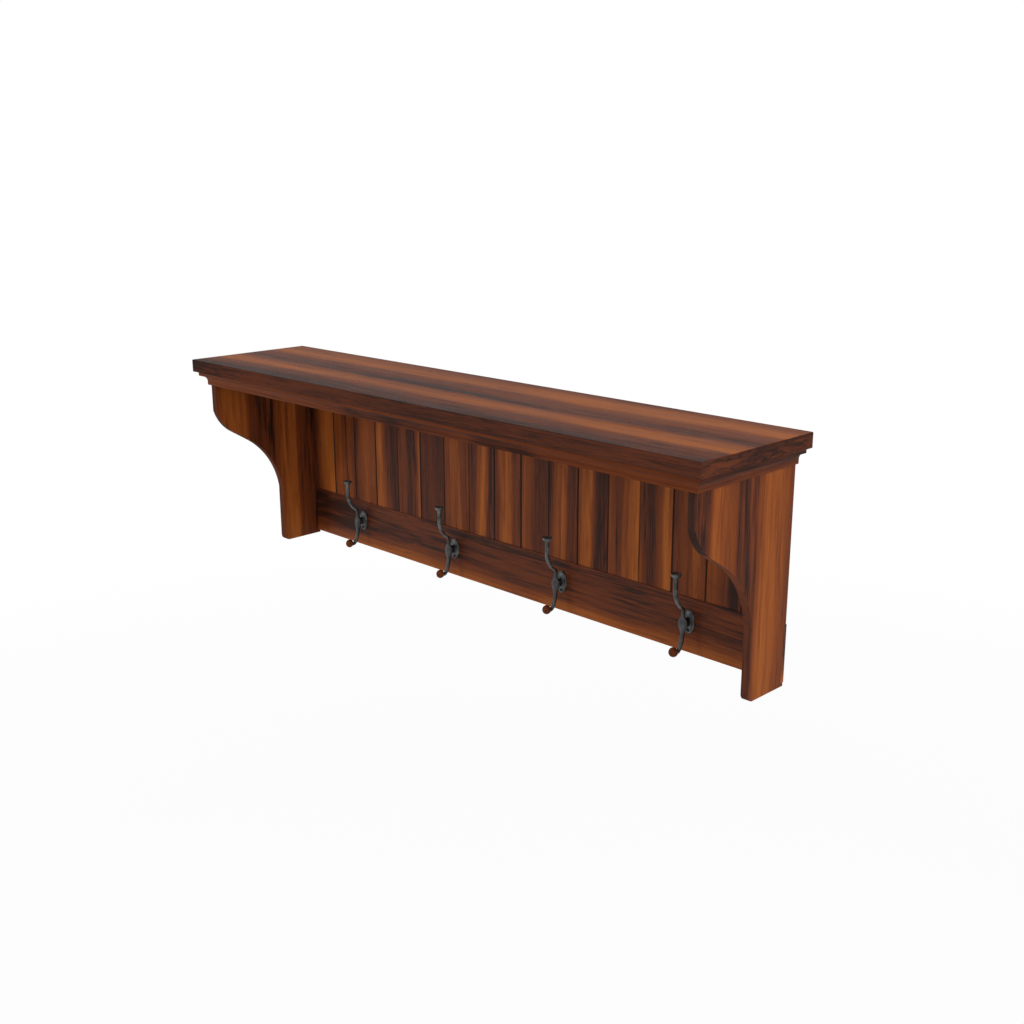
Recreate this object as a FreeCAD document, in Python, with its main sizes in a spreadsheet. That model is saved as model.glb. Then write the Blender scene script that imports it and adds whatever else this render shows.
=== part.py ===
import FreeCAD, Part
import math
import os
import re
import Sketcher

# Wall shelf with a plank back and four coat hooks, in millimetres.
# The origin is the middle of the top board's back edge, on the wall plane.
# X runs along the wall, the front faces -Y, and Z is up.

SIZES = {
    # Top board
    "board_width": 1220,
    "board_depth": 259,
    "board_thickness": 23.5,
    "board_easing": 1.5,
    # Overall height, from the top of the board to the bottom of the brackets
    "shelf_height": 394,
    # Side brackets: an S-curve runs from the deep head to the narrow leg
    "bracket_inset": 24.5,
    "bracket_thickness": 13.5,
    "bracket_leg_depth": 91.5,
    "bracket_curve_top": 100.5,
    "bracket_curve_bottom": 278,
    "bracket_toe_round": 11,
    "bracket_back_gap": 2,
    # Cove moulding under the overhang of the board
    "moulding_projection": 16.5,
    "moulding_height": 25.5,
    "moulding_top_fillet": 8,
    "moulding_quirk": 1.4,
    "moulding_bottom_fillet": 6.8,
    "moulding_bottom_projection": 4.8,
    # Tongue-and-groove planks
    "plank_thickness": 6,
    "plank_vee": 1.4,
    "tongue_thickness": 2,
    "tongue_length": 3,
    "tongue_clearance": 0.1,
    "plank_housing": 6,
    # Hook rail
    "rail_thickness": 7.5,
    "rail_height": 92.5,
    "rail_lift": 6,
    "rail_easing": 0.9,
    # Dowels between the board and the brackets
    "dowel_radius": 3,
    "dowel_length": 26,
    "dowel_in_board": 13,
    "dowel_clearance": 0.1,
    # Cast hooks, measured from the plate's centre on the rail's face
    "hook_above_rail_middle": 7,
    "plate_half_width": 10.8,
    "plate_half_height": 20,
    "plate_thickness": 3,
    "plate_round": 1.2,
    "plate_screw_rise": 14.5,
    "neck_half_width": 6.6,
    "neck_half_height": 9,
    "neck_taper": 13.5,
    "arm_reach": 16.8,
    "stem_reach": 38.4,
    "stem_radius": 3.8,
    "prong_rise": 88.5,
    "leaf_half_width": 9,
    "leaf_half_thickness": 3.5,
    "cap_radius": 8.4,
    "cap_rim": 1.4,
    "cap_bowl": 5.2,
    "cap_dish": 0.8,
    "knob_seat_reach": 32.6,
    "knob_seat_drop": 43.2,
    # Turned wooden knobs
    "knob_radius": 7.9,
    "knob_length": 13,
    "knob_seat_radius": 4,
    "knob_tilt": 14,
    "knob_bore_depth": 7,
    "spigot_radius": 2.2,
    "spigot_length": 6.5,
    "spigot_clearance": 0.1,
    "collar_radius": 2.9,
    # Screws
    "screw_head_radius": 3.2,
    "screw_shank_radius": 1.5,
    "screw_length": 8.5,
    "screw_slot_width": 0.9,
    "screw_slot_depth": 0.9,
    "screw_clearance": 0.1,
    "hook_screw_head_radius": 3,
    "hook_screw_head_rise": 2.2,
    "hook_screw_shank_radius": 1.5,
    "rail_screw_length": 26,
    "rail_screw_edge": 22,
    "hanger_screw_length": 13,
    "hanger_screw_head_radius": 2.3,
    "hanger_screw_shank_radius": 1.1,
    # Keyhole hanger plates let into the backs of the brackets
    "hanger_width": 10,
    "hanger_length": 40,
    "hanger_thickness": 1.5,
    "hanger_drop": 62,
    "hanger_clearance": 0.1,
    "hanger_screw_edge": 5,
    "keyhole_entry_radius": 3.8,
    "keyhole_slot_radius": 2,
    "keyhole_slot_rise": 9,
    "head_pocket_depth": 5,
    "head_pocket_margin": 0.4,
    # How far cuts run past what they cut
    "overrun": 5,
}

PLANK_COUNT = 17
HOOK_COUNT = 4

# The last plank's width as a share of the others', and the hooks' spacing as a
# share of the width between the brackets
LAST_PLANK_SHARE = 0.948
HOOK_SPACING_SHARE = 0.2404

# Where the S-curve's two arcs meet its straight stretch, as shares of the
# curve's depth and height
SHOULDER_END_SHARES = (0.244, 0.26)
HOLLOW_START_SHARES = (0.502, 0.389)

# Dowels along the bracket's head, as shares of its depth
DOWEL_SHARES = (0.2, 0.53, 0.86)

# The upper prong's sections, from its straight stem down to the leaf. Each row
# holds the share of the step from the arm out to the stem, the share of the rise,
# the tilt in degrees, and the section's radius as a share of the stem's. The rows
# lie evenly along the arm, so that the skin through them runs smoothly
PRONG_SHARES = (
    (1.0, 0.69, 0, 1.0),
    (0.99, 0.622, 4, 0.99),
    (0.93, 0.557, 18, 0.95),
    (0.83, 0.495, 26, 0.89),
    (0.69, 0.436, 33, 0.83),
    (0.525, 0.381, 41, 0.78),
    (0.32, 0.334, 51, 0.76),
    (0.1, 0.293, 40, 0.77),
    (0.0, 0.22, 0, 0.75),
)

# Where the upper prong's straight stem starts, as a share of its rise
STRAIGHT_FROM = PRONG_SHARES[0][1]

# The leaf's sections: share of the plate's half height, then half width and
# half thickness as shares of the leaf's own
LEAF_SHARES = (
    (0.66, 0.4, 0.82),
    (0.44, 0.74, 0.91),
    (0.2, 0.97, 0.99),
    (-0.04, 1.0, 1.02),
    (-0.27, 0.9, 1.02),
    (-0.47, 0.68, 1.03),
    (-0.65, 0.48, 1.05),
    (-0.82, 0.41, 1.05),
)

# The lower prong's sections, as the upper one's, with shares of the step and the
# drop from the leaf's centre to the knob's seat
TAIL_SHARES = (
    (0.032, 0.458, -5, 0.95),
    (0.095, 0.586, -12, 0.95),
    (0.184, 0.711, -16, 0.95),
    (0.291, 0.829, -22, 0.95),
    (0.456, 0.94, -36, 0.93),
    (0.715, 1.023, -70, 0.88),
)

# The knob's widest place and the radius of its flat nose, as shares of its
# length and radius
KNOB_WAIST_SHARE = 0.52
KNOB_NOSE_SHARE = 0.38

doc = FreeCAD.newDocument("wall_shelf")
sheet = doc.addObject("Spreadsheet::Sheet", "sizes")
for row, (size_name, size_value) in enumerate(SIZES.items(), 1):
    sheet.set(f"A{row}", size_name)
    sheet.set(f"B{row}", str(size_value))
    sheet.setAlias(f"B{row}", size_name)
doc.recompute()


# Places that several pieces share, as expressions over the sheet

BOARD_TOP = "board_thickness / 2"
BOARD_UNDER = "-board_thickness / 2"
SHELF_BOTTOM = "(board_thickness / 2 - shelf_height)"
HEAD_DEPTH = "(board_depth - bracket_inset)"
OUTER_FACE = "(board_width / 2 - bracket_inset)"
INNER_FACE = "(board_width / 2 - bracket_inset - bracket_thickness)"
RAIL_BOTTOM = "(board_thickness / 2 - shelf_height + rail_lift)"
RAIL_TOP = "(board_thickness / 2 - shelf_height + rail_lift + rail_height)"
PLANK_TOP = "(plank_housing - board_thickness / 2)"
TONGUE_FRONT = "-(plank_thickness + tongue_thickness) / 2"
TONGUE_BACK = "(tongue_thickness - plank_thickness) / 2"
HOOK_LEVEL = "(board_thickness / 2 - shelf_height + rail_lift + rail_height / 2 + hook_above_rail_middle)"
HANGER_LEVEL = "(board_thickness / 2 - hanger_drop)"
BRACKET_MIDDLE = "(board_width / 2 - bracket_inset - bracket_thickness / 2)"
PLANK_PITCH = f"(2 * {INNER_FACE} / {PLANK_COUNT - 1 + LAST_PLANK_SHARE})"


def spell(text):
    """Put the sheet's name before each size in an expression."""
    return re.sub(r"[a-z][a-z_]*", lambda word: ("sizes." if word[0] in SIZES else "") + word[0], text)


def number(text):
    """The present value of an expression."""
    return float(sheet.evalExpression(spell(text)))


def bind(thing, **expressions):
    """Bind properties of an object to expressions, with _at_ in a name standing for a dot."""
    for key, text in expressions.items():
        thing.setExpression(key.replace("_at_", "."), spell(text))


# Sketch helpers

def new_body(name):
    """A body that holds one sub-part."""
    body = doc.addObject("PartDesign::Body", name)
    body.Label = name
    return body


def new_sketch(body, plane, offset="0"):
    """A sketch on one of the body's own planes, shifted along that plane's normal."""
    sketch = body.newObject("Sketcher::SketchObject", "sketch")
    support = [part for part in body.Origin.OriginFeatures if part.Role == plane][0]
    sketch.AttachmentSupport = [(support, "")]
    sketch.MapMode = "FlatFace"
    sketch.setExpression(".AttachmentOffset.Base.z", spell(offset))
    return sketch


def pin(sketch, edge, end, across, up):
    """Fix one point of an edge at expressions measured from the sketch's origin."""
    for kind, text, axis in (("DistanceX", across, -2), ("DistanceY", up, -1)):
        if text == "0":
            sketch.addConstraint(Sketcher.Constraint("PointOnObject", edge, end, axis))
        else:
            rule = sketch.addConstraint(Sketcher.Constraint(kind, -1, 1, edge, end, number(text)))
            sketch.setExpression(f"Constraints[{rule}]", spell(text))


def arc_between(start, end, radius, turn):
    """An arc from start to end that turns left for turn 1 and right for turn -1."""
    chord = end - start
    middle = (start + end) / 2
    side = FreeCAD.Vector(-chord.y, chord.x, 0).normalize() * turn
    centre = middle + side * math.sqrt(max(radius ** 2 - (chord.Length / 2) ** 2, 0))
    first, last = (start, end) if turn > 0 else (end, start)
    angles = [math.atan2(point.y - centre.y, point.x - centre.x) for point in (first, last)]
    circle = Part.Circle(centre, FreeCAD.Vector(0, 0, 1), radius)
    return Part.ArcOfCircle(circle, angles[0], angles[1])


def outline(sketch, *corners):
    """A closed outline. A corner is (across, up), or (across, up, radius, turn) to reach it by an arc."""
    points = [FreeCAD.Vector(number(corner[0]), number(corner[1]), 0) for corner in corners]
    ends = []
    for place, corner in enumerate(corners):
        start, end = points[place - 1], points[place]
        if len(corner) == 2:
            edge = sketch.addGeometry(Part.LineSegment(start, end), False)
            ends.append((edge, 1, 2))
        else:
            radius, turn = corner[2], corner[3]
            edge = sketch.addGeometry(arc_between(start, end, number(radius), turn), False)
            ends.append((edge, 1, 2) if turn > 0 else (edge, 2, 1))
            rule = sketch.addConstraint(Sketcher.Constraint("Radius", edge, number(radius)))
            sketch.setExpression(f"Constraints[{rule}]", spell(radius))
    for place, (edge, first, last) in enumerate(ends):
        following, entry, leaving = ends[(place + 1) % len(ends)]
        sketch.addConstraint(Sketcher.Constraint("Coincident", edge, last, following, entry))
        pin(sketch, edge, last, corners[place][0], corners[place][1])


def box_outline(sketch, left, right, low, high):
    """A rectangle between two places across and two places up."""
    outline(sketch, (left, low), (right, low), (right, high), (left, high))


def ring(sketch, across, up, radius):
    """A circle of the given radius about a place."""
    circle = sketch.addGeometry(Part.Circle(FreeCAD.Vector(number(across), number(up), 0),
                                            FreeCAD.Vector(0, 0, 1), number(radius)), False)
    pin(sketch, circle, 3, across, up)
    rule = sketch.addConstraint(Sketcher.Constraint("Radius", circle, number(radius)))
    sketch.setExpression(f"Constraints[{rule}]", spell(radius))


def oval(sketch, half_width, half_height):
    """An ellipse about the sketch's origin, its wide axis across."""
    wide, tall = number(half_width), number(half_height)
    centre = FreeCAD.Vector(0, 0, 0)
    across, up = FreeCAD.Vector(wide, 0, 0), FreeCAD.Vector(0, tall, 0)
    ellipse = sketch.addGeometry(Part.Ellipse(across, up, centre) if wide >= tall
                                 else Part.Ellipse(up, across, centre), False)
    sketch.exposeInternalGeometry(ellipse)
    sketch.addConstraint(Sketcher.Constraint("Coincident", ellipse, 3, -1, 1))
    major, minor = ellipse + 1, ellipse + 2
    sketch.addConstraint(Sketcher.Constraint("Horizontal" if wide >= tall else "Vertical", major))
    for axis, text in ((major, half_width if wide >= tall else half_height),
                       (minor, half_height if wide >= tall else half_width)):
        rule = sketch.addConstraint(Sketcher.Constraint("Distance", axis, 2 * number(text)))
        sketch.setExpression(f"Constraints[{rule}]", spell(f"2 * ({text})"))


# Feature helpers

def pad(body, sketch, length, reverse=False, both_ways=False):
    """Extrude a sketch, away from its normal when reversed, or half each way."""
    feature = body.newObject("PartDesign::Pad", "pad")
    feature.Profile = sketch
    feature.Reversed = reverse
    feature.Midplane = both_ways
    bind(feature, Length=length)
    doc.recompute()
    return feature


def cut(body, sketch, length=None, reverse=False):
    """Cut a sketch into the body by a length, or right through both ways when none is given."""
    before = body.Shape.Volume
    feature = body.newObject("PartDesign::Pocket", "pocket")
    feature.Profile = sketch
    if length is None:
        feature.Type = "ThroughAll"
        feature.Midplane = True
    else:
        feature.Reversed = reverse
        bind(feature, Length=length)
    doc.recompute()
    if not body.Shape.Volume < before:
        raise RuntimeError(f"a cut in {body.Label} removed nothing")
    return feature


def ease(body, radius, chosen):
    """Round the body's edges for which the test holds."""
    tip = body.Tip
    names = [f"Edge{place}" for place, edge in enumerate(tip.Shape.Edges, 1) if chosen(edge)]
    feature = body.newObject("PartDesign::Fillet", "fillet")
    feature.Base = (tip, names)
    bind(feature, Radius=radius)
    doc.recompute()
    return feature


# Sub-parts

def make_top_board():
    """The shelf board, housed along its back for the planks and bored for the dowels."""
    body = new_body("top_board")
    blank = new_sketch(body, "XY_Plane", BOARD_UNDER)
    box_outline(blank, "-board_width / 2", "board_width / 2", "-board_depth", "0")
    pad(body, blank, "board_thickness")
    ease(body, "board_easing", lambda edge: edge.BoundBox.YMin < -number("overrun"))
    housing = new_sketch(body, "XY_Plane", BOARD_UNDER)
    box_outline(housing, f"-{INNER_FACE}", INNER_FACE, "-plank_thickness", "overrun")
    cut(body, housing, "plank_housing", reverse=True)
    bores = new_sketch(body, "XY_Plane", BOARD_UNDER)
    for side in ("-", ""):
        for share in DOWEL_SHARES:
            ring(bores, side + BRACKET_MIDDLE, f"-{share} * {HEAD_DEPTH}", "dowel_radius + dowel_clearance")
    cut(body, bores, "dowel_in_board + dowel_clearance", reverse=True)


def moulding_profile(sketch, outward):
    """Section of the cove moulding, its flat back at the bracket and its top at the board.

    outward turns a distance from the bracket's face into a place across the sketch.
    """
    cove_side = outward("moulding_projection - moulding_quirk")
    cove_foot = outward("moulding_bottom_projection")
    fillet_line = f"{BOARD_UNDER} - moulding_top_fillet"
    foot_line = f"{BOARD_UNDER} - moulding_height + moulding_bottom_fillet"
    bottom = f"{BOARD_UNDER} - moulding_height"
    radius = ("sqrt((moulding_projection - moulding_quirk - moulding_bottom_projection)^2"
              " + (moulding_height - moulding_top_fillet - moulding_bottom_fillet)^2) / sqrt(2)")
    turn = 1 if number(outward("moulding_projection")) > number(outward("0")) else -1
    outline(
        sketch,
        (outward("0"), bottom),
        (outward("0"), BOARD_UNDER),
        (outward("moulding_projection"), BOARD_UNDER),
        (outward("moulding_projection"), fillet_line),
        (cove_side, fillet_line),
        (cove_foot, foot_line, radius, turn),
        (cove_foot, bottom),
    )


def make_front_moulding():
    """The front length of moulding, mitred at both ends."""
    body = new_body("front_moulding")
    section = new_sketch(body, "YZ_Plane")
    moulding_profile(section, lambda out: f"-({HEAD_DEPTH} + {out})")
    pad(body, section, f"2 * ({OUTER_FACE} + moulding_projection)", both_ways=True)
    mitres = new_sketch(body, "XY_Plane")
    reach = "(moulding_projection + overrun)"
    for side in ("-", ""):
        outline(
            mitres,
            (f"{side}{OUTER_FACE}", f"-{HEAD_DEPTH}"),
            (f"{side}({OUTER_FACE} + {reach})", f"-({HEAD_DEPTH} + {reach})"),
            (f"{side}({OUTER_FACE} + {reach})", f"overrun - {HEAD_DEPTH}"),
            (f"{side}{OUTER_FACE}", f"overrun - {HEAD_DEPTH}"),
        )
    cut(body, mitres)


def make_side_moulding(name, side):
    """A return of the moulding down one bracket, mitred at the front corner."""
    body = new_body(name)
    section = new_sketch(body, "XZ_Plane", "bracket_back_gap")
    moulding_profile(section, lambda out: f"{side}({OUTER_FACE} + {out})")
    pad(body, section, f"{HEAD_DEPTH} + moulding_projection - bracket_back_gap")
    mitre = new_sketch(body, "XY_Plane")
    reach = "(moulding_projection + overrun)"
    outline(
        mitre,
        (f"{side}{OUTER_FACE}", f"-{HEAD_DEPTH}"),
        (f"{side}({OUTER_FACE} + {reach})", f"-({HEAD_DEPTH} + {reach})"),
        (f"{side}({OUTER_FACE} - overrun)", f"-({HEAD_DEPTH} + {reach})"),
        (f"{side}({OUTER_FACE} - overrun)", f"-{HEAD_DEPTH}"),
    )
    cut(body, mitre)


def bracket_profile(sketch):
    """The bracket's outline with its S-curved front and the notch for the rail at the back."""
    curve_depth = f"({HEAD_DEPTH} - bracket_leg_depth)"
    curve_height = "(bracket_curve_bottom - bracket_curve_top)"

    def on_curve(depth_share, height_share):
        across = f"{depth_share} * {curve_depth} - {HEAD_DEPTH}"
        up = f"{BOARD_TOP} - bracket_curve_top - {height_share} * {curve_height}"
        return across, up

    def tangent_radius(chord_shares):
        """Radius of an arc over the chord that runs smoothly into the straight stretch."""
        chord_squared = f"(({chord_shares[0]} * {curve_depth})^2 + ({chord_shares[1]} * {curve_height})^2)"
        run_length = f"sqrt(({run_shares[0]} * {curve_depth})^2 + ({run_shares[1]} * {curve_height})^2)"
        turn_share = abs(chord_shares[0] * run_shares[1] - chord_shares[1] * run_shares[0])
        return f"{chord_squared} * {run_length} / (2 * {turn_share} * {curve_depth} * {curve_height})"

    run_shares = [end - start for start, end in zip(SHOULDER_END_SHARES, HOLLOW_START_SHARES)]
    shoulder_radius = tangent_radius(SHOULDER_END_SHARES)
    hollow_radius = tangent_radius([1 - share for share in HOLLOW_START_SHARES])
    outline(
        sketch,
        ("-bracket_back_gap", BOARD_UNDER),
        (f"-{HEAD_DEPTH}", BOARD_UNDER),
        on_curve(0, 0),
        (*on_curve(*SHOULDER_END_SHARES), shoulder_radius, 1),
        on_curve(*HOLLOW_START_SHARES),
        (*on_curve(1, 1), hollow_radius, -1),
        ("-bracket_leg_depth", f"{SHELF_BOTTOM} + bracket_toe_round"),
        ("bracket_toe_round - bracket_leg_depth", SHELF_BOTTOM, "bracket_toe_round", 1),
        ("-bracket_back_gap", SHELF_BOTTOM),
        ("-bracket_back_gap", RAIL_BOTTOM),
        ("-rail_thickness", RAIL_BOTTOM),
        ("-rail_thickness", RAIL_TOP),
        ("-bracket_back_gap", RAIL_TOP),
    )


def slot_outline(sketch, across, low, high, radius):
    """An upright slot with round ends, between the centres of its ends."""
    middle, bottom, top, half = (number(text) for text in (across, low, high, radius))
    normal = FreeCAD.Vector(0, 0, 1)
    upper = Part.Circle(FreeCAD.Vector(middle, top, 0), normal, half)
    lower = Part.Circle(FreeCAD.Vector(middle, bottom, 0), normal, half)
    left_top, left_low = FreeCAD.Vector(middle - half, top, 0), FreeCAD.Vector(middle - half, bottom, 0)
    right_top, right_low = FreeCAD.Vector(middle + half, top, 0), FreeCAD.Vector(middle + half, bottom, 0)
    top_arc = sketch.addGeometry(Part.ArcOfCircle(upper, 0, math.pi), False)
    left = sketch.addGeometry(Part.LineSegment(left_top, left_low), False)
    low_arc = sketch.addGeometry(Part.ArcOfCircle(lower, math.pi, 2 * math.pi), False)
    right = sketch.addGeometry(Part.LineSegment(right_low, right_top), False)
    for first, second in ((top_arc, left), (left, low_arc), (low_arc, right), (right, top_arc)):
        sketch.addConstraint(Sketcher.Constraint("Tangent", first, 2, second, 1))
    for arc, level in ((top_arc, high), (low_arc, low)):
        pin(sketch, arc, 3, across, level)
        rule = sketch.addConstraint(Sketcher.Constraint("Radius", arc, number(radius)))
        sketch.setExpression(f"Constraints[{rule}]", spell(radius))


def make_bracket(name, side):
    """A side bracket, bored for its dowels and let in for its keyhole hanger."""
    body = new_body(name)
    profile = new_sketch(body, "YZ_Plane", f"{side}{BRACKET_MIDDLE}")
    bracket_profile(profile)
    pad(body, profile, "bracket_thickness", both_ways=True)
    bores = new_sketch(body, "XY_Plane", BOARD_UNDER)
    for share in DOWEL_SHARES:
        ring(bores, f"{side}{BRACKET_MIDDLE}", f"-{share} * {HEAD_DEPTH}", "dowel_radius + dowel_clearance")
    cut(body, bores, "dowel_length - dowel_in_board + dowel_clearance")
    seat = new_sketch(body, "XZ_Plane", "bracket_back_gap")
    reach = "hanger_length / 2 - hanger_width / 2"
    slot_outline(seat, f"{side}{BRACKET_MIDDLE}", f"{HANGER_LEVEL} - ({reach})", f"{HANGER_LEVEL} + {reach}",
                 "(hanger_width / 2 + hanger_clearance)")
    cut(body, seat, "hanger_thickness", reverse=True)
    pocket = new_sketch(body, "XZ_Plane", "bracket_back_gap + hanger_thickness")
    slot_outline(pocket, f"{side}{BRACKET_MIDDLE}", f"{HANGER_LEVEL} - keyhole_slot_rise / 2",
                 f"{HANGER_LEVEL} + keyhole_slot_rise / 2", "(keyhole_entry_radius + head_pocket_margin)")
    cut(body, pocket, "head_pocket_depth", reverse=True)
    pilots = new_sketch(body, "XZ_Plane", "bracket_back_gap")
    for end in ("-", "+"):
        ring(pilots, f"{side}{BRACKET_MIDDLE}", f"{HANGER_LEVEL} {end} (hanger_length / 2 - hanger_screw_edge)",
             "hanger_screw_shank_radius + screw_clearance")
    cut(body, pilots, "hanger_screw_length + screw_clearance", reverse=True)
    rail_pilots = new_sketch(body, "XZ_Plane", "rail_thickness")
    for level in rail_screw_levels():
        ring(rail_pilots, f"{side}{BRACKET_MIDDLE}", level, "screw_shank_radius + screw_clearance")
    cut(body, rail_pilots, "rail_screw_length - rail_thickness + screw_clearance", reverse=True)


def make_hook_rail():
    """The rail across the foot of the planks, grooved for their tongues and bored for every screw."""
    body = new_body("hook_rail")
    section = new_sketch(body, "YZ_Plane")
    box_outline(section, "-rail_thickness", "0", RAIL_BOTTOM, RAIL_TOP)
    pad(body, section, f"2 * {OUTER_FACE}", both_ways=True)
    ease(body, "rail_easing", lambda edge: edge.BoundBox.XLength > number("board_depth")
         and edge.BoundBox.YMax < -number("rail_easing"))
    groove = new_sketch(body, "XY_Plane", RAIL_TOP)
    box_outline(groove, f"-{INNER_FACE}", INNER_FACE, f"{TONGUE_FRONT} - tongue_clearance",
                f"{TONGUE_BACK} + tongue_clearance")
    cut(body, groove, "tongue_length + tongue_clearance")
    hook_bores = new_sketch(body, "XZ_Plane", "rail_thickness")
    for place in hook_places():
        for end in ("-", "+"):
            ring(hook_bores, place, f"{HOOK_LEVEL} {end} plate_screw_rise",
                 "hook_screw_shank_radius + screw_clearance")
    cut(body, hook_bores, "screw_length - plate_thickness + screw_clearance")
    for side in ("-", ""):
        for level in rail_screw_levels():
            countersink(body, f"{side}{BRACKET_MIDDLE}", level, "0", "rail_thickness", back=True)


def make_plank(place):
    """One plank of the back. The first and last have square outer edges, and the last is ripped to fit."""
    body = new_body(f"plank_{place + 1:02d}")
    width = PLANK_PITCH if place < PLANK_COUNT - 1 else f"({LAST_PLANK_SHARE} * {PLANK_PITCH})"
    corners = [(width, "0"), ("0", "0")]
    if place > 0:
        deep = "(tongue_length + tongue_clearance)"
        corners += [
            ("0", f"{TONGUE_BACK} + tongue_clearance"),
            (deep, f"{TONGUE_BACK} + tongue_clearance"),
            (deep, f"{TONGUE_FRONT} - tongue_clearance"),
            ("0", f"{TONGUE_FRONT} - tongue_clearance"),
            ("0", "plank_vee - plank_thickness"),
            ("plank_vee", "-plank_thickness"),
        ]
    else:
        corners += [("0", "-plank_thickness")]
    if place < PLANK_COUNT - 1:
        corners += [
            (f"{width} - plank_vee", "-plank_thickness"),
            (width, "plank_vee - plank_thickness"),
            (width, TONGUE_FRONT),
            (f"{width} + tongue_length", TONGUE_FRONT),
            (f"{width} + tongue_length", TONGUE_BACK),
            (width, TONGUE_BACK),
        ]
    else:
        corners += [(width, "-plank_thickness")]
    section = new_sketch(body, "XY_Plane", f"{RAIL_TOP} - tongue_length")
    outline(section, *corners)
    pad(body, section, f"{PLANK_TOP} - {RAIL_TOP} + tongue_length")
    shoulders = new_sketch(body, "YZ_Plane")
    foot = f"{RAIL_TOP} - tongue_length - overrun"
    box_outline(shoulders, "-plank_thickness - overrun", TONGUE_FRONT, foot, RAIL_TOP)
    box_outline(shoulders, TONGUE_BACK, "overrun", foot, RAIL_TOP)
    cut(body, shoulders)
    bind(body, Placement_at_Base_at_x=f"{place} * {PLANK_PITCH} - {INNER_FACE}")


def hook_places():
    """The hooks' places along the rail, evenly spaced about its middle."""
    spacing = f"{HOOK_SPACING_SHARE} * 2 * {INNER_FACE}"
    return [f"{place - (HOOK_COUNT - 1) / 2} * {spacing}" for place in range(HOOK_COUNT)]


def arm_stretches():
    """The sections of the prong, the leaf and the tail: place out and up, tilt, half width, half thickness."""
    rows = []
    for out, rise, tilt, radius in PRONG_SHARES:
        rows.append((f"arm_reach + {out} * (stem_reach - arm_reach)", f"{rise} * prong_rise", f"{tilt}",
                     f"{radius} * stem_radius", f"{radius} * stem_radius"))
    for rise, wide, thick in LEAF_SHARES:
        rows.append(("arm_reach", f"{rise} * plate_half_height", "0",
                     f"{wide} * leaf_half_width", f"{thick} * leaf_half_thickness"))
    for out, drop, tilt, radius in TAIL_SHARES:
        rows.append((f"arm_reach + {out} * (knob_seat_reach - arm_reach)", f"-{drop} * knob_seat_drop", f"{tilt}",
                     f"{radius} * stem_radius", f"{radius} * stem_radius"))
    rows.append(("knob_seat_reach", "-knob_seat_drop", "-(90 + knob_tilt)", "collar_radius", "collar_radius"))
    leaf_start = len(PRONG_SHARES) - 1
    tail_start = len(PRONG_SHARES) + len(LEAF_SHARES)
    return rows[:leaf_start + 1], rows[leaf_start:tail_start + 1], rows[tail_start:]


def make_hook(place):
    """A cast hat-and-coat hook: oval plate, neck, leaf, upper prong with its cap, lower prong."""
    body = new_body(f"hook_{place + 1}")
    plate = new_sketch(body, "XZ_Plane")
    oval(plate, "plate_half_width", "plate_half_height")
    pad(body, plate, "plate_thickness")
    ease(body, "plate_round", lambda edge: edge.BoundBox.YMax < -number("plate_thickness") / 2
         and edge.BoundBox.ZLength > number("plate_half_height"))
    neck = new_sketch(body, "XZ_Plane")
    oval(neck, "neck_half_width", "neck_half_height")
    post = pad(body, neck, "arm_reach")
    bind(post, TaperAngle="-neck_taper")
    for rows in arm_stretches():
        sections = [tilted_section(body, *row) for row in rows]
        arm = body.newObject("PartDesign::AdditiveLoft", "arm")
        arm.Profile = sections[0]
        arm.Sections = sections[1:]
        doc.recompute()
    stem = tilted_sketch(body, "stem_reach", f"{STRAIGHT_FROM} * prong_rise", "0")
    ring(stem, "0", "0", "stem_radius")
    pad(body, stem, f"prong_rise - cap_rim - {STRAIGHT_FROM} * prong_rise")
    spigot = tilted_sketch(body, "knob_seat_reach", "-knob_seat_drop", "-(90 + knob_tilt)")
    ring(spigot, "0", "0", "spigot_radius")
    pad(body, spigot, "spigot_length", reverse=True)
    add_cap(body)
    bores = new_sketch(body, "XZ_Plane", "plate_thickness")
    for end in ("-", "+"):
        ring(bores, "0", f"0 {end} plate_screw_rise", "hook_screw_shank_radius + screw_clearance")
    cut(body, bores, "plate_thickness")
    bind(body, Placement_at_Base_at_x=hook_places()[place], Placement_at_Base_at_y="-rail_thickness",
         Placement_at_Base_at_z=HOOK_LEVEL)


def tilted_sketch(body, out, up, tilt):
    """A sketch square to the arm at a place out from the rail and up from the plate's centre."""
    sketch = new_sketch(body, "XY_Plane", up)
    turned = FreeCAD.Rotation(FreeCAD.Vector(1, 0, 0), number(tilt))
    sketch.AttachmentOffset = FreeCAD.Placement(FreeCAD.Vector(), turned)
    sketch.setExpression(".AttachmentOffset.Base.y", spell(f"-({out})"))
    return sketch


def tilted_section(body, out, up, tilt, wide, thick):
    """One round or oval section of the arm."""
    section = tilted_sketch(body, out, up, tilt)
    if wide == thick:
        ring(section, "0", "0", wide)
    else:
        oval(section, wide, thick)
    return section


def add_cap(body):
    """The mushroom cap on the upper prong: a round bowl under a thin rim, its top slightly dished."""
    rim_under = "(prong_rise - cap_rim)"
    bowl_foot = "(prong_rise - cap_rim - cap_bowl)"
    width = "(cap_radius - stem_radius)"
    profile = new_sketch(body, "YZ_Plane")
    outline(
        profile,
        ("-stem_reach", bowl_foot),
        ("stem_radius - stem_reach", bowl_foot),
        ("cap_radius - stem_reach", rim_under, f"({width}^2 + cap_bowl^2) / (2 * {width})", 1),
        ("cap_radius - stem_reach", "prong_rise"),
        ("-stem_reach", "prong_rise - cap_dish", "(cap_radius^2 + cap_dish^2) / (2 * cap_dish)", -1),
    )
    turn_profile(body, "PartDesign::Revolution", profile, "-stem_reach", upright=True)


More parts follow.
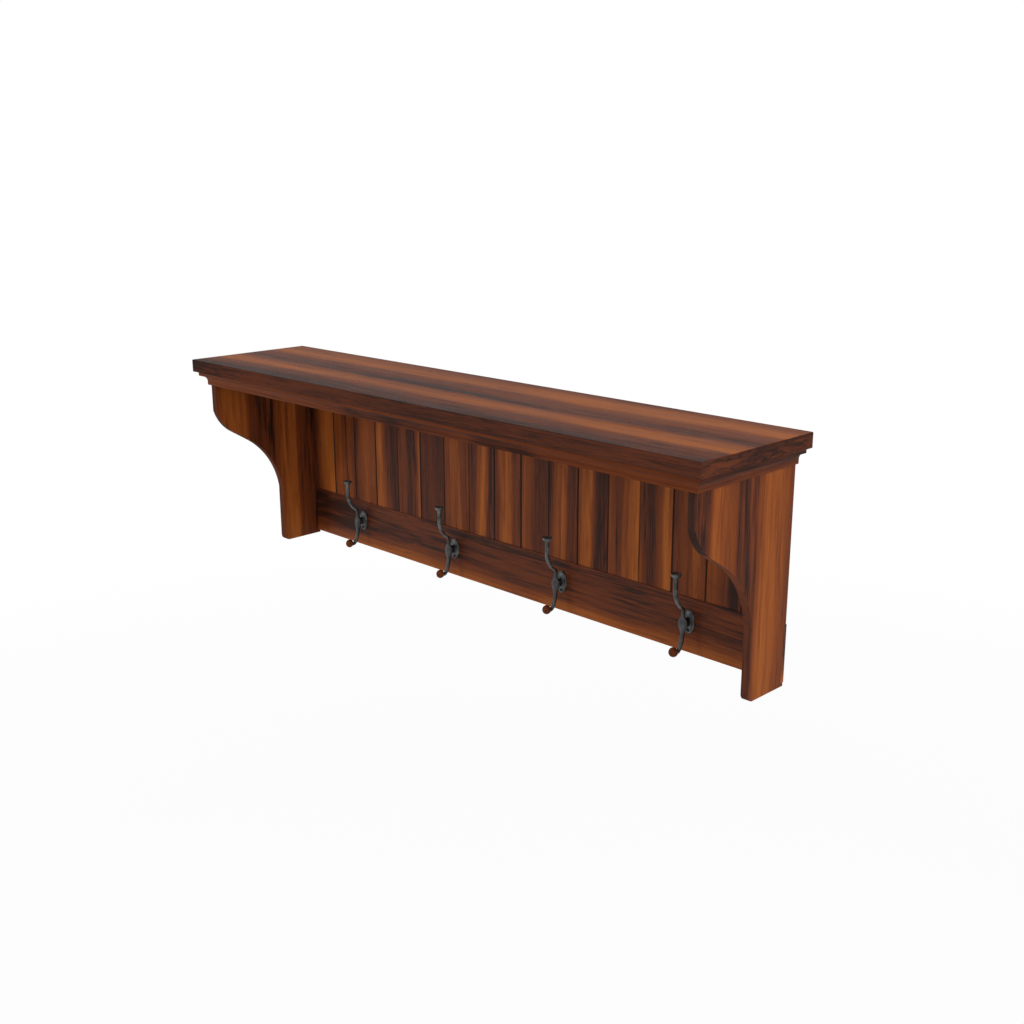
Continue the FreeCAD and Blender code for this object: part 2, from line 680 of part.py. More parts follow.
def turn_profile(body, kind, profile, place, upright):
    """Turn a profile about an upright or level line of its own sketch at the given place."""
    start = (place, "0") if upright else ("0", place)
    end = (place, "overrun") if upright else ("overrun", place)
    points = [FreeCAD.Vector(number(across), number(up), 0) for across, up in (start, end)]
    line = profile.addGeometry(Part.LineSegment(*points), True)
    pin(profile, line, 1, *start)
    pin(profile, line, 2, *end)
    feature = body.newObject(kind, "turning")
    feature.Profile = profile
    feature.ReferenceAxis = (profile, ["Axis0"])
    doc.recompute()


def make_knob(place):
    """A turned wooden knob, its bore on the spigot at the end of the hook's lower prong."""
    body = new_body(f"hook_knob_{place + 1}")
    bore = "(spigot_radius + spigot_clearance)"
    nose = f"{KNOB_NOSE_SHARE} * knob_radius"
    waist = f"{KNOB_WAIST_SHARE} * knob_length"
    back_swell = "(knob_radius - knob_seat_radius)"
    front_swell = f"(knob_radius - {nose})"
    profile = new_sketch(body, "YZ_Plane")
    outline(
        profile,
        ("0", bore),
        ("-knob_bore_depth", bore),
        ("-knob_bore_depth", "0"),
        ("-knob_length", "0"),
        ("-knob_length", nose),
        (f"-{waist}", "knob_radius", f"((knob_length - {waist})^2 + {front_swell}^2) / (2 * {front_swell})", -1),
        ("0", "knob_seat_radius", f"(({waist})^2 + {back_swell}^2) / (2 * {back_swell})", -1),
    )
    turn_profile(body, "PartDesign::Revolution", profile, "0", upright=False)
    body.Placement.Rotation = FreeCAD.Rotation(FreeCAD.Vector(-1, 0, 0), number("knob_tilt"))
    bind(body, Placement_at_Base_at_x=hook_places()[place],
         Placement_at_Base_at_y="-rail_thickness - knob_seat_reach",
         Placement_at_Base_at_z=f"{HOOK_LEVEL} - knob_seat_drop")


def make_hanger(name, side):
    """A steel keyhole plate, flush in the bracket's back edge, that slips over a screw in the wall."""
    body = new_body(name)
    plate = new_sketch(body, "XZ_Plane")
    reach = "(hanger_length / 2 - hanger_width / 2)"
    slot_outline(plate, "0", f"-{reach}", reach, "(hanger_width / 2)")
    pad(body, plate, "hanger_thickness")
    entry = new_sketch(body, "XZ_Plane")
    ring(entry, "0", "-keyhole_slot_rise / 2", "keyhole_entry_radius")
    cut(body, entry)
    slot = new_sketch(body, "XZ_Plane")
    slot_outline(slot, "0", "-keyhole_slot_rise / 2", "keyhole_slot_rise / 2", "keyhole_slot_radius")
    cut(body, slot)
    for end in ("-", "+"):
        level = f"0 {end} (hanger_length / 2 - hanger_screw_edge)"
        countersink(body, "0", level, "0", "hanger_thickness", "hanger_screw", back=True)
    bind(body, Placement_at_Base_at_x=f"{side}{BRACKET_MIDDLE}", Placement_at_Base_at_y="-bracket_back_gap",
         Placement_at_Base_at_z=HANGER_LEVEL)


def countersink(body, across, up, face, depth, kind="screw", back=False):
    """A screw's hole with its sink. face is how far the sunk face stands in front of the origin plane."""
    shank = f"({kind}_shank_radius + screw_clearance)"
    head_radius = f"{kind}_head_radius"
    hole = new_sketch(body, "XZ_Plane", face)
    ring(hole, across, up, shank)
    cut(body, hole, depth, reverse=back)
    profile = new_sketch(body, "YZ_Plane", across)
    inward = "-" if back else ""
    outline(
        profile,
        (f"-({face})", up),
        (f"-({face})", f"{up} + {head_radius}"),
        (f"{inward}{head_radius} - ({face})", up),
    )
    before = body.Shape.Volume
    turn_profile(body, "PartDesign::Groove", profile, up, upright=False)
    if not body.Shape.Volume < before:
        raise RuntimeError(f"a sink in {body.Label} removed nothing")


def sunk_head(name, kind):
    """A countersunk screw head, its flat face level with the sheet it holds."""
    head = doc.addObject("Part::Cone", name)
    bind(head, Radius1=f"{kind}_head_radius", Radius2="0", Height=f"{kind}_head_radius")
    return head


def round_head(name, kind):
    """A round screw head that stands on the sheet it holds."""
    rise = f"{kind}_head_rise"
    ball = f"(({kind}_head_radius^2 + {rise}^2) / (2 * {rise}))"
    head = doc.addObject("Part::Sphere", name)
    bind(head, Radius=ball, Angle1="-90", Angle2=f"-asin(({ball} - {rise}) / {ball})",
         Placement_at_Base_at_z=f"{ball} - {rise}")
    return head


def make_screw(name, kind, length, across, out, up, inward, rise="0"):
    """A slotted wood screw, sunk unless its head has a rise, driven to the wall when inward is True."""
    head = sunk_head(name + "_head", kind) if rise == "0" else round_head(name + "_head", kind)
    shank = doc.addObject("Part::Cylinder", name + "_shank")
    bind(shank, Radius=f"{kind}_shank_radius", Height=f"{length} - 2 * {kind}_shank_radius")
    point = doc.addObject("Part::Cone", name + "_point")
    bind(point, Radius1=f"{kind}_shank_radius", Radius2="0", Height=f"2 * {kind}_shank_radius",
         Placement_at_Base_at_z=f"{length} - 2 * {kind}_shank_radius")
    blank = doc.addObject("Part::MultiFuse", name + "_blank")
    blank.Shapes = [head, shank, point]
    slot = doc.addObject("Part::Box", name + "_slot")
    bind(slot, Length=f"2 * {kind}_head_radius", Width="screw_slot_width", Height="2 * screw_slot_depth")
    bind(slot, Placement_at_Base_at_x=f"-{kind}_head_radius", Placement_at_Base_at_y="-screw_slot_width / 2",
         Placement_at_Base_at_z=f"-{rise} - screw_slot_depth")
    screw = doc.addObject("Part::Cut", name)
    screw.Base = blank
    screw.Tool = slot
    screw.Placement.Rotation = FreeCAD.Rotation(FreeCAD.Vector(-1 if inward else 1, 0, 0), 90)
    bind(screw, Placement_at_Base_at_x=across, Placement_at_Base_at_y=f"-({out})", Placement_at_Base_at_z=up)
    return screw


def group(name, pieces):
    """Several alike pieces as one sub-part."""
    holder = doc.addObject("Part::Compound", name)
    holder.Label = name
    holder.Links = pieces
    return holder


def make_hook_screws():
    """Two screws through each hook's plate into the rail."""
    screws = []
    for place, across in enumerate(hook_places()):
        for end, sign in (("low", "-"), ("high", "+")):
            screws.append(make_screw(f"hook_screw_{place + 1}_{end}", "hook_screw", "screw_length", across,
                                     "rail_thickness + plate_thickness", f"{HOOK_LEVEL} {sign} plate_screw_rise",
                                     True, "hook_screw_head_rise"))
    return group("hook_screws", screws)


def rail_screw_levels():
    """The two heights at which each end of the rail is screwed to its bracket."""
    return f"{RAIL_BOTTOM} + rail_screw_edge", f"{RAIL_TOP} - rail_screw_edge"


def make_rail_screws():
    """Two screws through each end of the rail, driven from behind into the bracket's edge."""
    screws = []
    for name, side in (("left", "-"), ("right", "")):
        for end, level in zip(("low", "high"), rail_screw_levels()):
            screws.append(make_screw(f"rail_screw_{name}_{end}", "screw", "rail_screw_length",
                                     f"{side}{BRACKET_MIDDLE}", "0", level, False))
    return group("rail_screws", screws)


def make_hanger_screws():
    """Two small screws in each keyhole plate."""
    screws = []
    for name, side in (("left", "-"), ("right", "")):
        for end, sign in (("low", "-"), ("high", "+")):
            level = f"{HANGER_LEVEL} {sign} (hanger_length / 2 - hanger_screw_edge)"
            screws.append(make_screw(f"hanger_screw_{name}_{end}", "hanger_screw", "hanger_screw_length",
                                     f"{side}{BRACKET_MIDDLE}", "bracket_back_gap", level, False))
    return group("hanger_screws", screws)


def make_dowels():
    """Dowels that stand in the brackets' tops and the underside of the board."""
    dowels = []
    for name, side in (("left", "-"), ("right", "")):
        for place, share in enumerate(DOWEL_SHARES, 1):
            dowel = doc.addObject("Part::Cylinder", f"dowel_{name}_{place}")
            bind(dowel, Radius="dowel_radius", Height="dowel_length",
                 Placement_at_Base_at_x=f"{side}{BRACKET_MIDDLE}",
                 Placement_at_Base_at_y=f"-{share} * {HEAD_DEPTH}",
                 Placement_at_Base_at_z=f"{BOARD_UNDER} + dowel_in_board - dowel_length")
            dowels.append(dowel)
    return group("bracket_dowels", dowels)


def check_objects():
    """Stop if anything in the document failed."""
    for thing in doc.Objects:
        if "Invalid" in thing.State or "Error" in thing.State:
            raise RuntimeError(f"{thing.Label} failed: {thing.State}")


make_top_board()
make_front_moulding()
make_side_moulding("left_moulding", "-")
make_side_moulding("right_moulding", "")
make_bracket("left_bracket", "-")
make_bracket("right_bracket", "")
make_hook_rail()
for index in range(PLANK_COUNT):
    make_plank(index)
for index in range(HOOK_COUNT):
    make_hook(index)
    make_knob(index)
make_hanger("left_hanger", "-")
make_hanger("right_hanger", "")
groups = [make_hook_screws(), make_rail_screws(), make_hanger_screws(), make_dowels()]
doc.recompute()
check_objects()

sub_parts = [thing for thing in doc.Objects if thing.TypeId == "PartDesign::Body"] + groups
for sub_part in sub_parts:
    if sub_part.Shape.isNull() or not sub_part.Shape.isValid():
        raise RuntimeError(f"{sub_part.Label} has no valid shape")

os.makedirs("parts", exist_ok=True)
for sub_part in sub_parts:
    sub_part.Shape.exportStep(f"parts/{sub_part.Label}.step")
    print(sub_part.Label, len(sub_part.Shape.Solids), round(sub_part.Shape.Volume))
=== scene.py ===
"""The looks of a wall shelf with coat hooks: streaked, oiled hardwood, cast iron hooks and turned knobs.

Laid out as an add-on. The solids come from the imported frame, in metres: X runs along the wall, the
front faces -Y and Z is up.
"""

import math

import bpy
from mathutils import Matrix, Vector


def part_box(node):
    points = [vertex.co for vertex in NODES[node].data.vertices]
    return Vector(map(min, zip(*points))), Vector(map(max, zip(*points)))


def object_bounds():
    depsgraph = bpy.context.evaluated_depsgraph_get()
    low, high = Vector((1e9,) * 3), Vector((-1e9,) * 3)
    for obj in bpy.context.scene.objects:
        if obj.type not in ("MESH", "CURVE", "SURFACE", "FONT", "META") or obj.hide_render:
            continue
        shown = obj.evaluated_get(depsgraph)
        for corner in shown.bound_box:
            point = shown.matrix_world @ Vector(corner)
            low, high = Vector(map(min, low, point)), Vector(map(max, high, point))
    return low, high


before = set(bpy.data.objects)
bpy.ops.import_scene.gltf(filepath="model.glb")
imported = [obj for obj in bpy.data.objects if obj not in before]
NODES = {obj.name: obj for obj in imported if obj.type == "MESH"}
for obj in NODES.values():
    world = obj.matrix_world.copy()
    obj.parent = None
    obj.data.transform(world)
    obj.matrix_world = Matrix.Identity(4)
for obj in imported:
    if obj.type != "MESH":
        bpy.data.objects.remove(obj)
CAD_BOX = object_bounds()

bl_info = {
    "name": "Wall shelf with coat hooks",
    "version": (1, 0, 0),
    "blender": (4, 5, 0),
    "location": "3D View > Sidebar > Wall shelf",
    "description": "Finishes each piece of the shelf and sets its stage",
    "category": "Object",
}

# The bands of each board, as places and tones. A place is the share of the way across the board, a tone
# runs from 0 dark to 1 light. The top runs from the back to the front, a bracket too, the rail and the
# mouldings upwards, and a plank from left to right.
TOP_BANDS = (
    (0.00, 0.22), (0.05, 0.43), (0.13, 0.62), (0.20, 0.75), (0.25, 0.73), (0.29, 0.50), (0.32, 0.30),
    (0.40, 0.22), (0.51, 0.10), (0.54, 0.22), (0.565, 0.42), (0.60, 0.57), (0.68, 0.72), (0.72, 0.68),
    (0.75, 0.53), (0.79, 0.25), (0.90, 0.04), (1.00, 0.03),
)
RIGHT_BRACKET_BANDS = (
    (0.00, 0.26), (0.10, 0.43), (0.18, 0.61), (0.28, 0.72), (0.35, 0.50), (0.396, 0.14), (0.42, 0.38),
    (0.435, 0.38), (0.46, 0.16), (0.49, 0.10), (0.56, 0.10), (0.60, 0.30), (0.77, 0.70), (0.815, 0.56),
    (0.85, 0.22), (0.90, 0.12), (0.94, 0.22), (1.00, 0.14),
)
LEFT_BRACKET_BANDS = (
    (0.00, 0.16), (0.06, 0.17), (0.09, 0.22), (0.125, 0.17), (0.165, 0.34), (0.205, 0.34), (0.225, 0.70),
    (0.24, 0.76), (0.36, 0.62), (0.385, 0.44), (0.42, 0.30), (0.44, 0.14), (0.47, 0.24), (0.50, 0.22),
    (0.53, 0.12), (0.56, 0.12), (0.60, 0.22), (0.68, 0.32), (0.72, 0.58), (0.83, 0.66), (1.00, 0.49),
)
RAIL_BANDS = (
    (0.00, 0.73), (0.09, 0.65), (0.16, 0.55), (0.30, 0.25), (0.38, 0.16), (0.50, 0.12), (0.62, 0.20),
    (0.70, 0.12), (0.835, 0.19), (0.91, 0.14), (1.00, 0.14),
)
MOULDING_BANDS = (
    (0.00, 0.26), (0.04, 0.31), (0.13, 0.29), (0.17, 0.15), (0.24, 0.27), (0.42, 0.29), (0.52, 0.20),
    (0.66, 0.21), (0.72, 0.28), (0.94, 0.28), (1.00, 0.05),
)
RIGHT_MOULDING_BANDS = (
    (0.00, 0.22), (0.13, 0.23), (0.17, 0.14), (0.24, 0.21), (0.34, 0.25), (0.43, 0.16), (0.52, 0.08),
    (0.66, 0.08), (0.72, 0.05), (1.00, 0.05),
)
PLANK_BANDS = (
    # The first plank's dark left side is the left bracket's shadow, painted on.
    ((0.0, 0.06), (0.12, 0.16), (0.30, 0.44), (0.40, 0.64), (0.55, 0.80), (0.85, 0.88), (1.0, 0.66)),
    ((0.0, 0.38), (0.2, 0.48), (0.54, 0.44), (0.60, 0.06), (0.65, 0.40), (0.80, 0.46), (0.90, 0.24),
     (1.0, 0.28)),
    ((0.0, 0.25), (0.17, 0.16), (0.40, 0.51), (0.55, 0.58), (0.80, 0.52), (0.92, 0.36), (1.0, 0.42)),
    ((0.0, 0.30), (0.05, 0.36), (0.12, 0.66), (0.32, 0.76), (0.52, 0.34), (0.84, 0.07), (1.0, 0.14)),
    ((0.0, 0.28), (0.15, 0.18), (0.3, 0.26), (0.50, 0.0), (0.73, 0.06), (0.84, 0.42), (0.94, 0.70),
     (1.0, 0.50)),
    ((0.0, 0.11), (0.4, 0.15), (0.7, 0.11), (1.0, 0.12)),
    ((0.0, 0.32), (0.28, 0.46), (0.42, 0.49), (0.60, 0.66), (0.72, 0.34), (0.90, 0.22), (1.0, 0.46)),
    ((0.0, 0.14), (0.24, 0.08), (0.34, 0.46), (0.50, 0.78), (0.66, 0.58), (0.76, 0.10), (0.86, 0.10),
     (0.94, 0.34), (1.0, 0.20)),
    ((0.0, 0.20), (0.08, 0.20), (0.16, 0.46), (0.36, 0.72), (0.56, 0.70), (0.68, 0.28), (1.0, 0.18)),
    ((0.0, 0.30), (0.10, 0.42), (0.17, 0.62), (0.27, 0.45), (0.40, 0.38), (0.56, 0.18), (1.0, 0.17)),
    ((0.0, 0.13), (0.08, 0.16), (0.30, 0.54), (0.46, 0.61), (0.50, 0.76), (0.62, 0.60), (0.68, 0.20),
     (1.0, 0.26)),
    ((0.0, 0.40), (0.08, 0.44), (0.15, 0.66), (0.39, 0.74), (0.48, 0.26), (0.60, 0.07), (0.90, 0.03),
     (1.0, 0.14)),
    ((0.0, 0.56), (0.06, 0.40), (0.29, 0.28), (0.40, 0.40), (0.50, 0.66), (0.72, 0.66), (0.84, 0.88),
     (0.95, 0.92), (1.0, 0.80)),
    ((0.0, 0.66), (0.05, 0.56), (0.12, 0.20), (0.28, 0.12), (0.40, 0.16), (0.50, 0.34), (0.60, 0.34),
     (0.84, 0.80), (0.94, 0.80), (1.0, 0.66)),
    ((0.0, 0.14), (0.28, 0.38), (0.36, 0.28), (0.42, 0.30), (0.50, 0.62), (0.75, 0.51), (0.94, 0.24),
     (1.0, 0.20)),
    ((0.0, 0.56), (0.20, 0.52), (0.42, 0.25), (0.52, 0.22), (0.72, 0.03), (0.83, 0.18), (1.0, 0.26)),
    ((0.0, 0.52), (0.12, 0.72), (0.5, 0.60), (1.0, 0.48)),
)
# The bands of a knob, from its foot to its top.
KNOB_BANDS = ((0.0, 0.24), (1.0, 0.36))
# How much lighter or darker a board is in places along its grain, in metres in the frame.
TOP_STRETCHES = ((-0.61, 0.07), (-0.39, 0.0), (0.0, -0.05), (0.30, 0.02), (0.45, 0.08), (0.61, 0.08))
MOULDING_STRETCHES = (
    (-0.60, 0.08), (-0.47, 0.04), (-0.18, 0.05), (-0.15, -0.09), (-0.02, -0.15), (0.05, -0.08),
    (0.14, -0.02), (0.18, -0.18), (0.28, -0.13), (0.31, 0.0), (0.45, 0.02), (0.60, 0.05),
)
RAIL_STRETCHES = (
    (-0.585, -0.06), (-0.45, -0.12), (-0.38, 0.03), (-0.16, 0.04), (0.0, -0.04), (0.12, 0.06),
    (0.20, 0.06), (0.26, 0.0), (0.585, 0.0),
)
# The tone of the top board's edges, from left to right.
TOP_EDGES = (
    (-0.61, 0.03), (-0.49, 0.15), (-0.34, 0.19), (-0.19, 0.17), (0.04, 0.07), (0.15, 0.07), (0.26, 0.12),
    (0.34, 0.09), (0.49, 0.16), (0.61, 0.16),
)
# The tone of the brackets' edges, by height. The right one is nearly black over one stretch of its curve,
# where the edge faces downwards: painted shade.
LEFT_BRACKET_EDGES = ((-0.382, 0.17), (-0.012, 0.17))
RIGHT_BRACKET_EDGES = (
    (-0.382, 0.15), (-0.250, 0.18), (-0.180, 0.34), (-0.136, 0.34), (-0.131, 0.0), (-0.095, 0.0),
    (-0.088, 0.12), (-0.012, 0.14),
)
# How dark the stain lies in each joint of the back, from the left bracket to the right one.
JOINT_STAINS = (
    0.5, 1.0, 0.9, 1.0, 0.5, 1.0, 0.5, 0.5, 1.0, 1.0, 0.8, 1.0, 0.5, 0.5, 0.9, 0.8, 0.5, 0.5)
# How strong the streaks are in the planks that have a calm figure, counted from the left.
PLANK_STREAKS = {1: 0.7, 3: 0.5, 6: 0.25, 10: 0.45}
TONGUE = 0.003  # how far a plank's tongue reaches past its face
BOARD_END_TONE = 0.11  # the tone of the top board's end grain
MOULDING_STREAKS = 0.6  # how strong the streaks are in the mouldings
MOULDING_DRIFT = 0.1  # the share of the usual drift in them, because their profile is so narrow
COVE_TOP = 0.64  # the share of a moulding's height at which its cove ends, and the stretches with it
AXES = "XYZ"

# What tells each board's noise from the next one's.
SEEDS = {
    "top_board": 3.1, "front_moulding": 7.7, "left_moulding": 9.2, "right_moulding": 11.9,
    "left_bracket": 14.3, "hook_rail": 17.3, "right_bracket": 21.6,
}
PLANK_SEEDS = (30.0, 4.7)  # where the planks' seeds start, and the step from one to the next
KNOB_SEEDS = (50.0, 3.3)  # the same for the knobs
QUICK_SEED_STEP = 2.0  # from the seed of a board's slow drift to that of its quick one

# The noise in the wood, in turns per metre along the grain and to both sides of it.
SLOW_DRIFT_TURNS = (1.7, 4.0, 4.0)
QUICK_DRIFT_TURNS = (5.0, 22.0, 22.0)
WANDER_TURNS = (2.2, 14.0, 14.0)
RIPPLE_TURNS = (8.0, 45.0, 45.0)
FIBRE_TURNS = (24.0, 900.0, 900.0)
PORE_TURNS = (90.0, 2400.0, 2400.0)
# The streaks: turns per metre along the grain, and turns in one streak width across it.
BROAD_STREAKS = (2.4, 1.0)
FINE_STREAKS = (6.0, 4.0)
VEIN_STREAKS = (1.6, 1.4)
SMOKE_STREAKS = (7.0, 2.2)
# How far each part of the figure moves the tone.
BROAD_REACH = 0.28
FINE_REACH = 0.25
VEIN_SHADE = 0.14
SMOKE_SHADE = 0.16
FIBRE_REACH = 0.18
PORE_SHADE = 0.08
QUICK_DRIFT = 0.8  # the quick drift's share of the slow one
WANDER_SHARE = 0.5  # the share of the drift that the grain lines wander
RIPPLE_SHARE = 0.25  # the share of it that they ripple
NOISE_MIDDLE = 0.5
MIDDLING = (0.3, 0.7)  # nearly all of a noise lies between these two
VEIN_WIDTH = 0.024  # how near the middle of its noise a vein ends
SMOKE_RANGE = (0.56, 0.68)  # the noise at which smoky patches start, and at which they are full
PORE_RANGE = (0.60, 0.70)  # the same for open pores
TONE_STEPS = (0.00, 0.17, 0.48, 0.75, 1.00)  # the tones of the finish's five colours
WOOD_ROUGHNESS = (0.38, 0.50)
PORE_ROUGHNESS = 0.15  # how much rougher an open pore is
FIBRE_HEIGHT = 0.35  # how far a fibre stands up, as a share of a pore's depth
WOOD_BUMP = 0.6  # how strongly the pores and fibres show in the light

END_TURNS = 4.0  # how much shorter a streak is on end grain
END_FACING = (0.6, 0.8)  # how squarely a surface faces along the grain where end grain starts
FACE_FACING = (0.5, 0.9)  # how squarely it faces the way the broad faces do where an edge ends
EDGE_STREAKS = 0.45  # the share of the streaks that an edge shows
EDGE_DULLNESS = 0.3  # how much rougher an edge is than a face
EDGE_PAINTED_SHEEN = 0.08  # how thickly the grey of a painted sheen lies on it
# The grey of the edges' painted sheen.
PAINTED_SHEEN_GREY = (0.1, 0.1, 0.1, 1.0)
STRETCH_FADE = 0.06  # the share of the width over which the stretches fade out
STAIN_EDGE = (0.8, 1.2)  # the shares of the joint width between which the stain fades
RAMP_LIFT = 0.5  # what the ramps of changes are raised by, because a ramp holds nothing below zero

# The iron of the hooks. Places are in metres in the frame.
HOOKS = 4
LEAF_BACK = (-0.030, -0.026)  # where a hook's leaf ends towards the wall, and the gap's painted shade starts
PLATE_FACE = (-0.0135, -0.0115)  # where that painted shade ends in front of the plate
LOWER_PRONG = (-0.350, -0.338)  # where the lower prong leaves the leaf, and painted shade starts on it
PRONG_END = (-0.369, -0.358)  # the bend at its end, beside the knob, where the painted shade deepens
PRONG_SHADE = 0.18  # how much wear is taken from the lower prong, as painted shade
BEND_SHADE = 0.3  # how much more wear is taken at the bend, as painted shade beside the knob
WEAR_RANGE = (0.37, 0.68)  # the wear at which the iron is black, and at which it is bright
WEAR_REACH = 0.25  # how far the sand-cast skin moves the wear
WEAR_TURNS = (90.0, 90.0, 90.0)
IRON_ROUGHNESS = (0.27, 0.38)
IRON_BUMP = 0.5
# The screws in their plates.
PLATE_MIDDLE = -0.323  # the height of the middle of a plate, with one screw above and one below
SCREW_GAP = 0.002  # how far from there the lower screw's painted shade ends
SCUFF_TURNS = (700.0, 700.0, 700.0)
SCUFF_SHADE = (0.6, 1.0)
SCUFF_DEPTH = 0.00005
SCUFF_BUMP = 0.5
HEAD_ROUGHNESS = (0.30, 0.50)
# The zinc and the beech that the shelf hides.
CRYSTAL_TURNS = (400.0, 400.0, 400.0)
CRYSTAL_DULLNESS = 0.7  # the share of the zinc's colour that its darker crystals have
CRYSTAL_DEPTH = 0.00003
CRYSTAL_BUMP = 0.4
ZINC_ROUGHNESS = (0.28, 0.45)
BEECH_TURNS = (900.0, 900.0, 25.0)
BEECH_COLOURS = ((0.30, (0.42, 0.26, 0.14)), (0.55, (0.62, 0.43, 0.26)), (0.75, (0.70, 0.52, 0.34)))
BEECH_DEPTH = 0.00008
BEECH_BUMP = 0.5
BEECH_ROUGHNESS = (0.55, 0.70)

# The stage.
FLOOR_SIZE = 30.0
FLOOR_FADE = 2.5  # how many times farther out than its start the floor's fade ends
SENSOR_WIDTH = 36.0
WHITE = (1.0, 1.0, 1.0, 1.0)
# Each lamp's name, place, target, width and height in metres, and power in watts.
LAMPS = (
    ("overhead_lamp", (0.2, -0.5, 2.2), (0.0, -0.1, -0.1), 2.2, 14.0),
    ("side_lamp", (2.6, -0.6, 0.7), (0.3, -0.1, -0.15), 2.4, 47.0),
    ("front_lamp", (0.6, -2.8, 0.6), (0.0, -0.1, -0.15), 1.8, 12.0),
    ("left_lamp", (-1.6, -1.9, 0.5), (0.0, -0.1, -0.3), 0.35, 14.0),
)


class WoodFinish(bpy.types.PropertyGroup):
    """The oiled hardwood of the shelf."""

    vein_colour: bpy.props.FloatVectorProperty(
        name="Vein colour", description="Darkest streaks", subtype="COLOR",
        default=(0.022, 0.007, 0.004), min=0.0, max=1.0)
    dark_colour: bpy.props.FloatVectorProperty(
        name="Dark colour", description="Dark heartwood bands", subtype="COLOR",
        default=(0.088, 0.0205, 0.0070), min=0.0, max=1.0)
    middle_colour: bpy.props.FloatVectorProperty(
        name="Middle colour", description="Red-brown between the bands", subtype="COLOR",
        default=(0.165, 0.040, 0.0085), min=0.0, max=1.0)
    light_colour: bpy.props.FloatVectorProperty(
        name="Light colour", description="Orange-brown bands", subtype="COLOR",
        default=(0.270, 0.073, 0.0130), min=0.0, max=1.0)
    pale_colour: bpy.props.FloatVectorProperty(
        name="Pale colour", description="Lightest streaks", subtype="COLOR",
        default=(0.370, 0.106, 0.0190), min=0.0, max=1.0)
    drift: bpy.props.FloatProperty(
        name="Drift", description="How far a band wanders across its board",
        default=0.012, unit="LENGTH")
    streak_width: bpy.props.FloatProperty(
        name="Streak width", description="Width of a middling streak", default=0.024, unit="LENGTH")
    gloss: bpy.props.FloatProperty(
        name="Gloss", description="Strength of the oiled sheen", default=0.05, min=0.0, max=1.0)
    top_gloss: bpy.props.FloatProperty(
        name="Top gloss", description="The same on the top board, which dust and hands have dulled",
        default=0.021, min=0.0, max=1.0)
    back_gloss: bpy.props.FloatProperty(
        name="Back gloss", description="The same on the planks and the rail, which are hardly touched",
        default=0.10, min=0.0, max=1.0)
    joint_colour: bpy.props.FloatVectorProperty(
        name="Joint colour", description="Stain that has gathered in the joints of the back",
        subtype="COLOR", default=(0.014, 0.006, 0.004), min=0.0, max=1.0)
    joint_width: bpy.props.FloatProperty(
        name="Joint width", description="How far the stain reaches from a joint to either side",
        default=0.0019, unit="LENGTH")
    pore_depth: bpy.props.FloatProperty(
        name="Pore depth", description="Depth of the open grain", default=0.00012, unit="LENGTH")


class IronFinish(bpy.types.PropertyGroup):
    """The dark cast iron of the hooks and the zinc of the hidden hardware."""

    iron_colour: bpy.props.FloatVectorProperty(
        name="Iron colour", description="Blackened cast iron", subtype="COLOR",
        default=(0.020, 0.022, 0.022), min=0.0, max=1.0)
    worn_colour: bpy.props.FloatVectorProperty(
        name="Worn colour", description="Iron where hands have rubbed it", subtype="COLOR",
        default=(0.104, 0.110, 0.109), min=0.0, max=1.0)
    # Painted shade in the gap between a hook's plate and its leaf, and on the lower screw heads.
    painted_shade_colour: bpy.props.FloatVectorProperty(
        name="Soot colour", description="Blacking left in the gap between a hook's plate and its leaf",
        subtype="COLOR", default=(0.006, 0.005, 0.005), min=0.0, max=1.0)
    # The upper screw heads, kept light as a painted highlight.
    head_colour: bpy.props.FloatVectorProperty(
        name="Head colour", description="Steel heads of the screws in the plates", subtype="COLOR",
        default=(0.24, 0.245, 0.24), min=0.0, max=1.0)
    zinc_colour: bpy.props.FloatVectorProperty(
        name="Zinc colour", description="Plated hangers and their screws", subtype="COLOR",
        default=(0.52, 0.53, 0.54), min=0.0, max=1.0)
    cast_grain: bpy.props.FloatProperty(
        name="Cast grain", description="Size of the bumps left by the sand mould",
        default=0.0012, unit="LENGTH")
    cast_depth: bpy.props.FloatProperty(
        name="Cast depth", description="Height of those bumps", default=0.00015, unit="LENGTH")


class StageSettings(bpy.types.PropertyGroup):
    """Floor, lamps and camera."""

    floor_drop: bpy.props.FloatProperty(
        name="Floor drop", description="How far the floor lies below the shelf",
        default=1.1, unit="LENGTH")
    floor_colour: bpy.props.FloatVectorProperty(
        name="Floor colour", description="Pale studio floor", subtype="COLOR",
        default=(0.95, 0.95, 0.95), min=0.0, max=1.0)
    floor_bleach: bpy.props.FloatProperty(
        name="Floor bleach", description="How much of the floor near the shelf is seen as plain white",
        default=0.92, min=0.0, max=1.0)
    floor_clear: bpy.props.FloatProperty(
        name="Floor clear", description="Where the floor starts to fade into the white surroundings",
        default=1.6, unit="LENGTH")
    sky_strength: bpy.props.FloatProperty(
        name="Sky strength", description="Even light from all round", default=0.45)
    lens: bpy.props.FloatProperty(
        name="Lens", description="Focal length in millimetres on a 36 mm sensor", default=44.01)
    camera_place: bpy.props.FloatVectorProperty(
        name="Camera place", description="Where the camera stands", subtype="XYZ", unit="LENGTH",
        default=(1.53604, -1.52129, 0.38280))
    camera_turn: bpy.props.FloatVectorProperty(
        name="Camera turn", description="How the camera is turned", subtype="EULER", unit="ROTATION",
        default=tuple(math.radians(a) for a in (74.26672, 0.14561, 45.10854)))


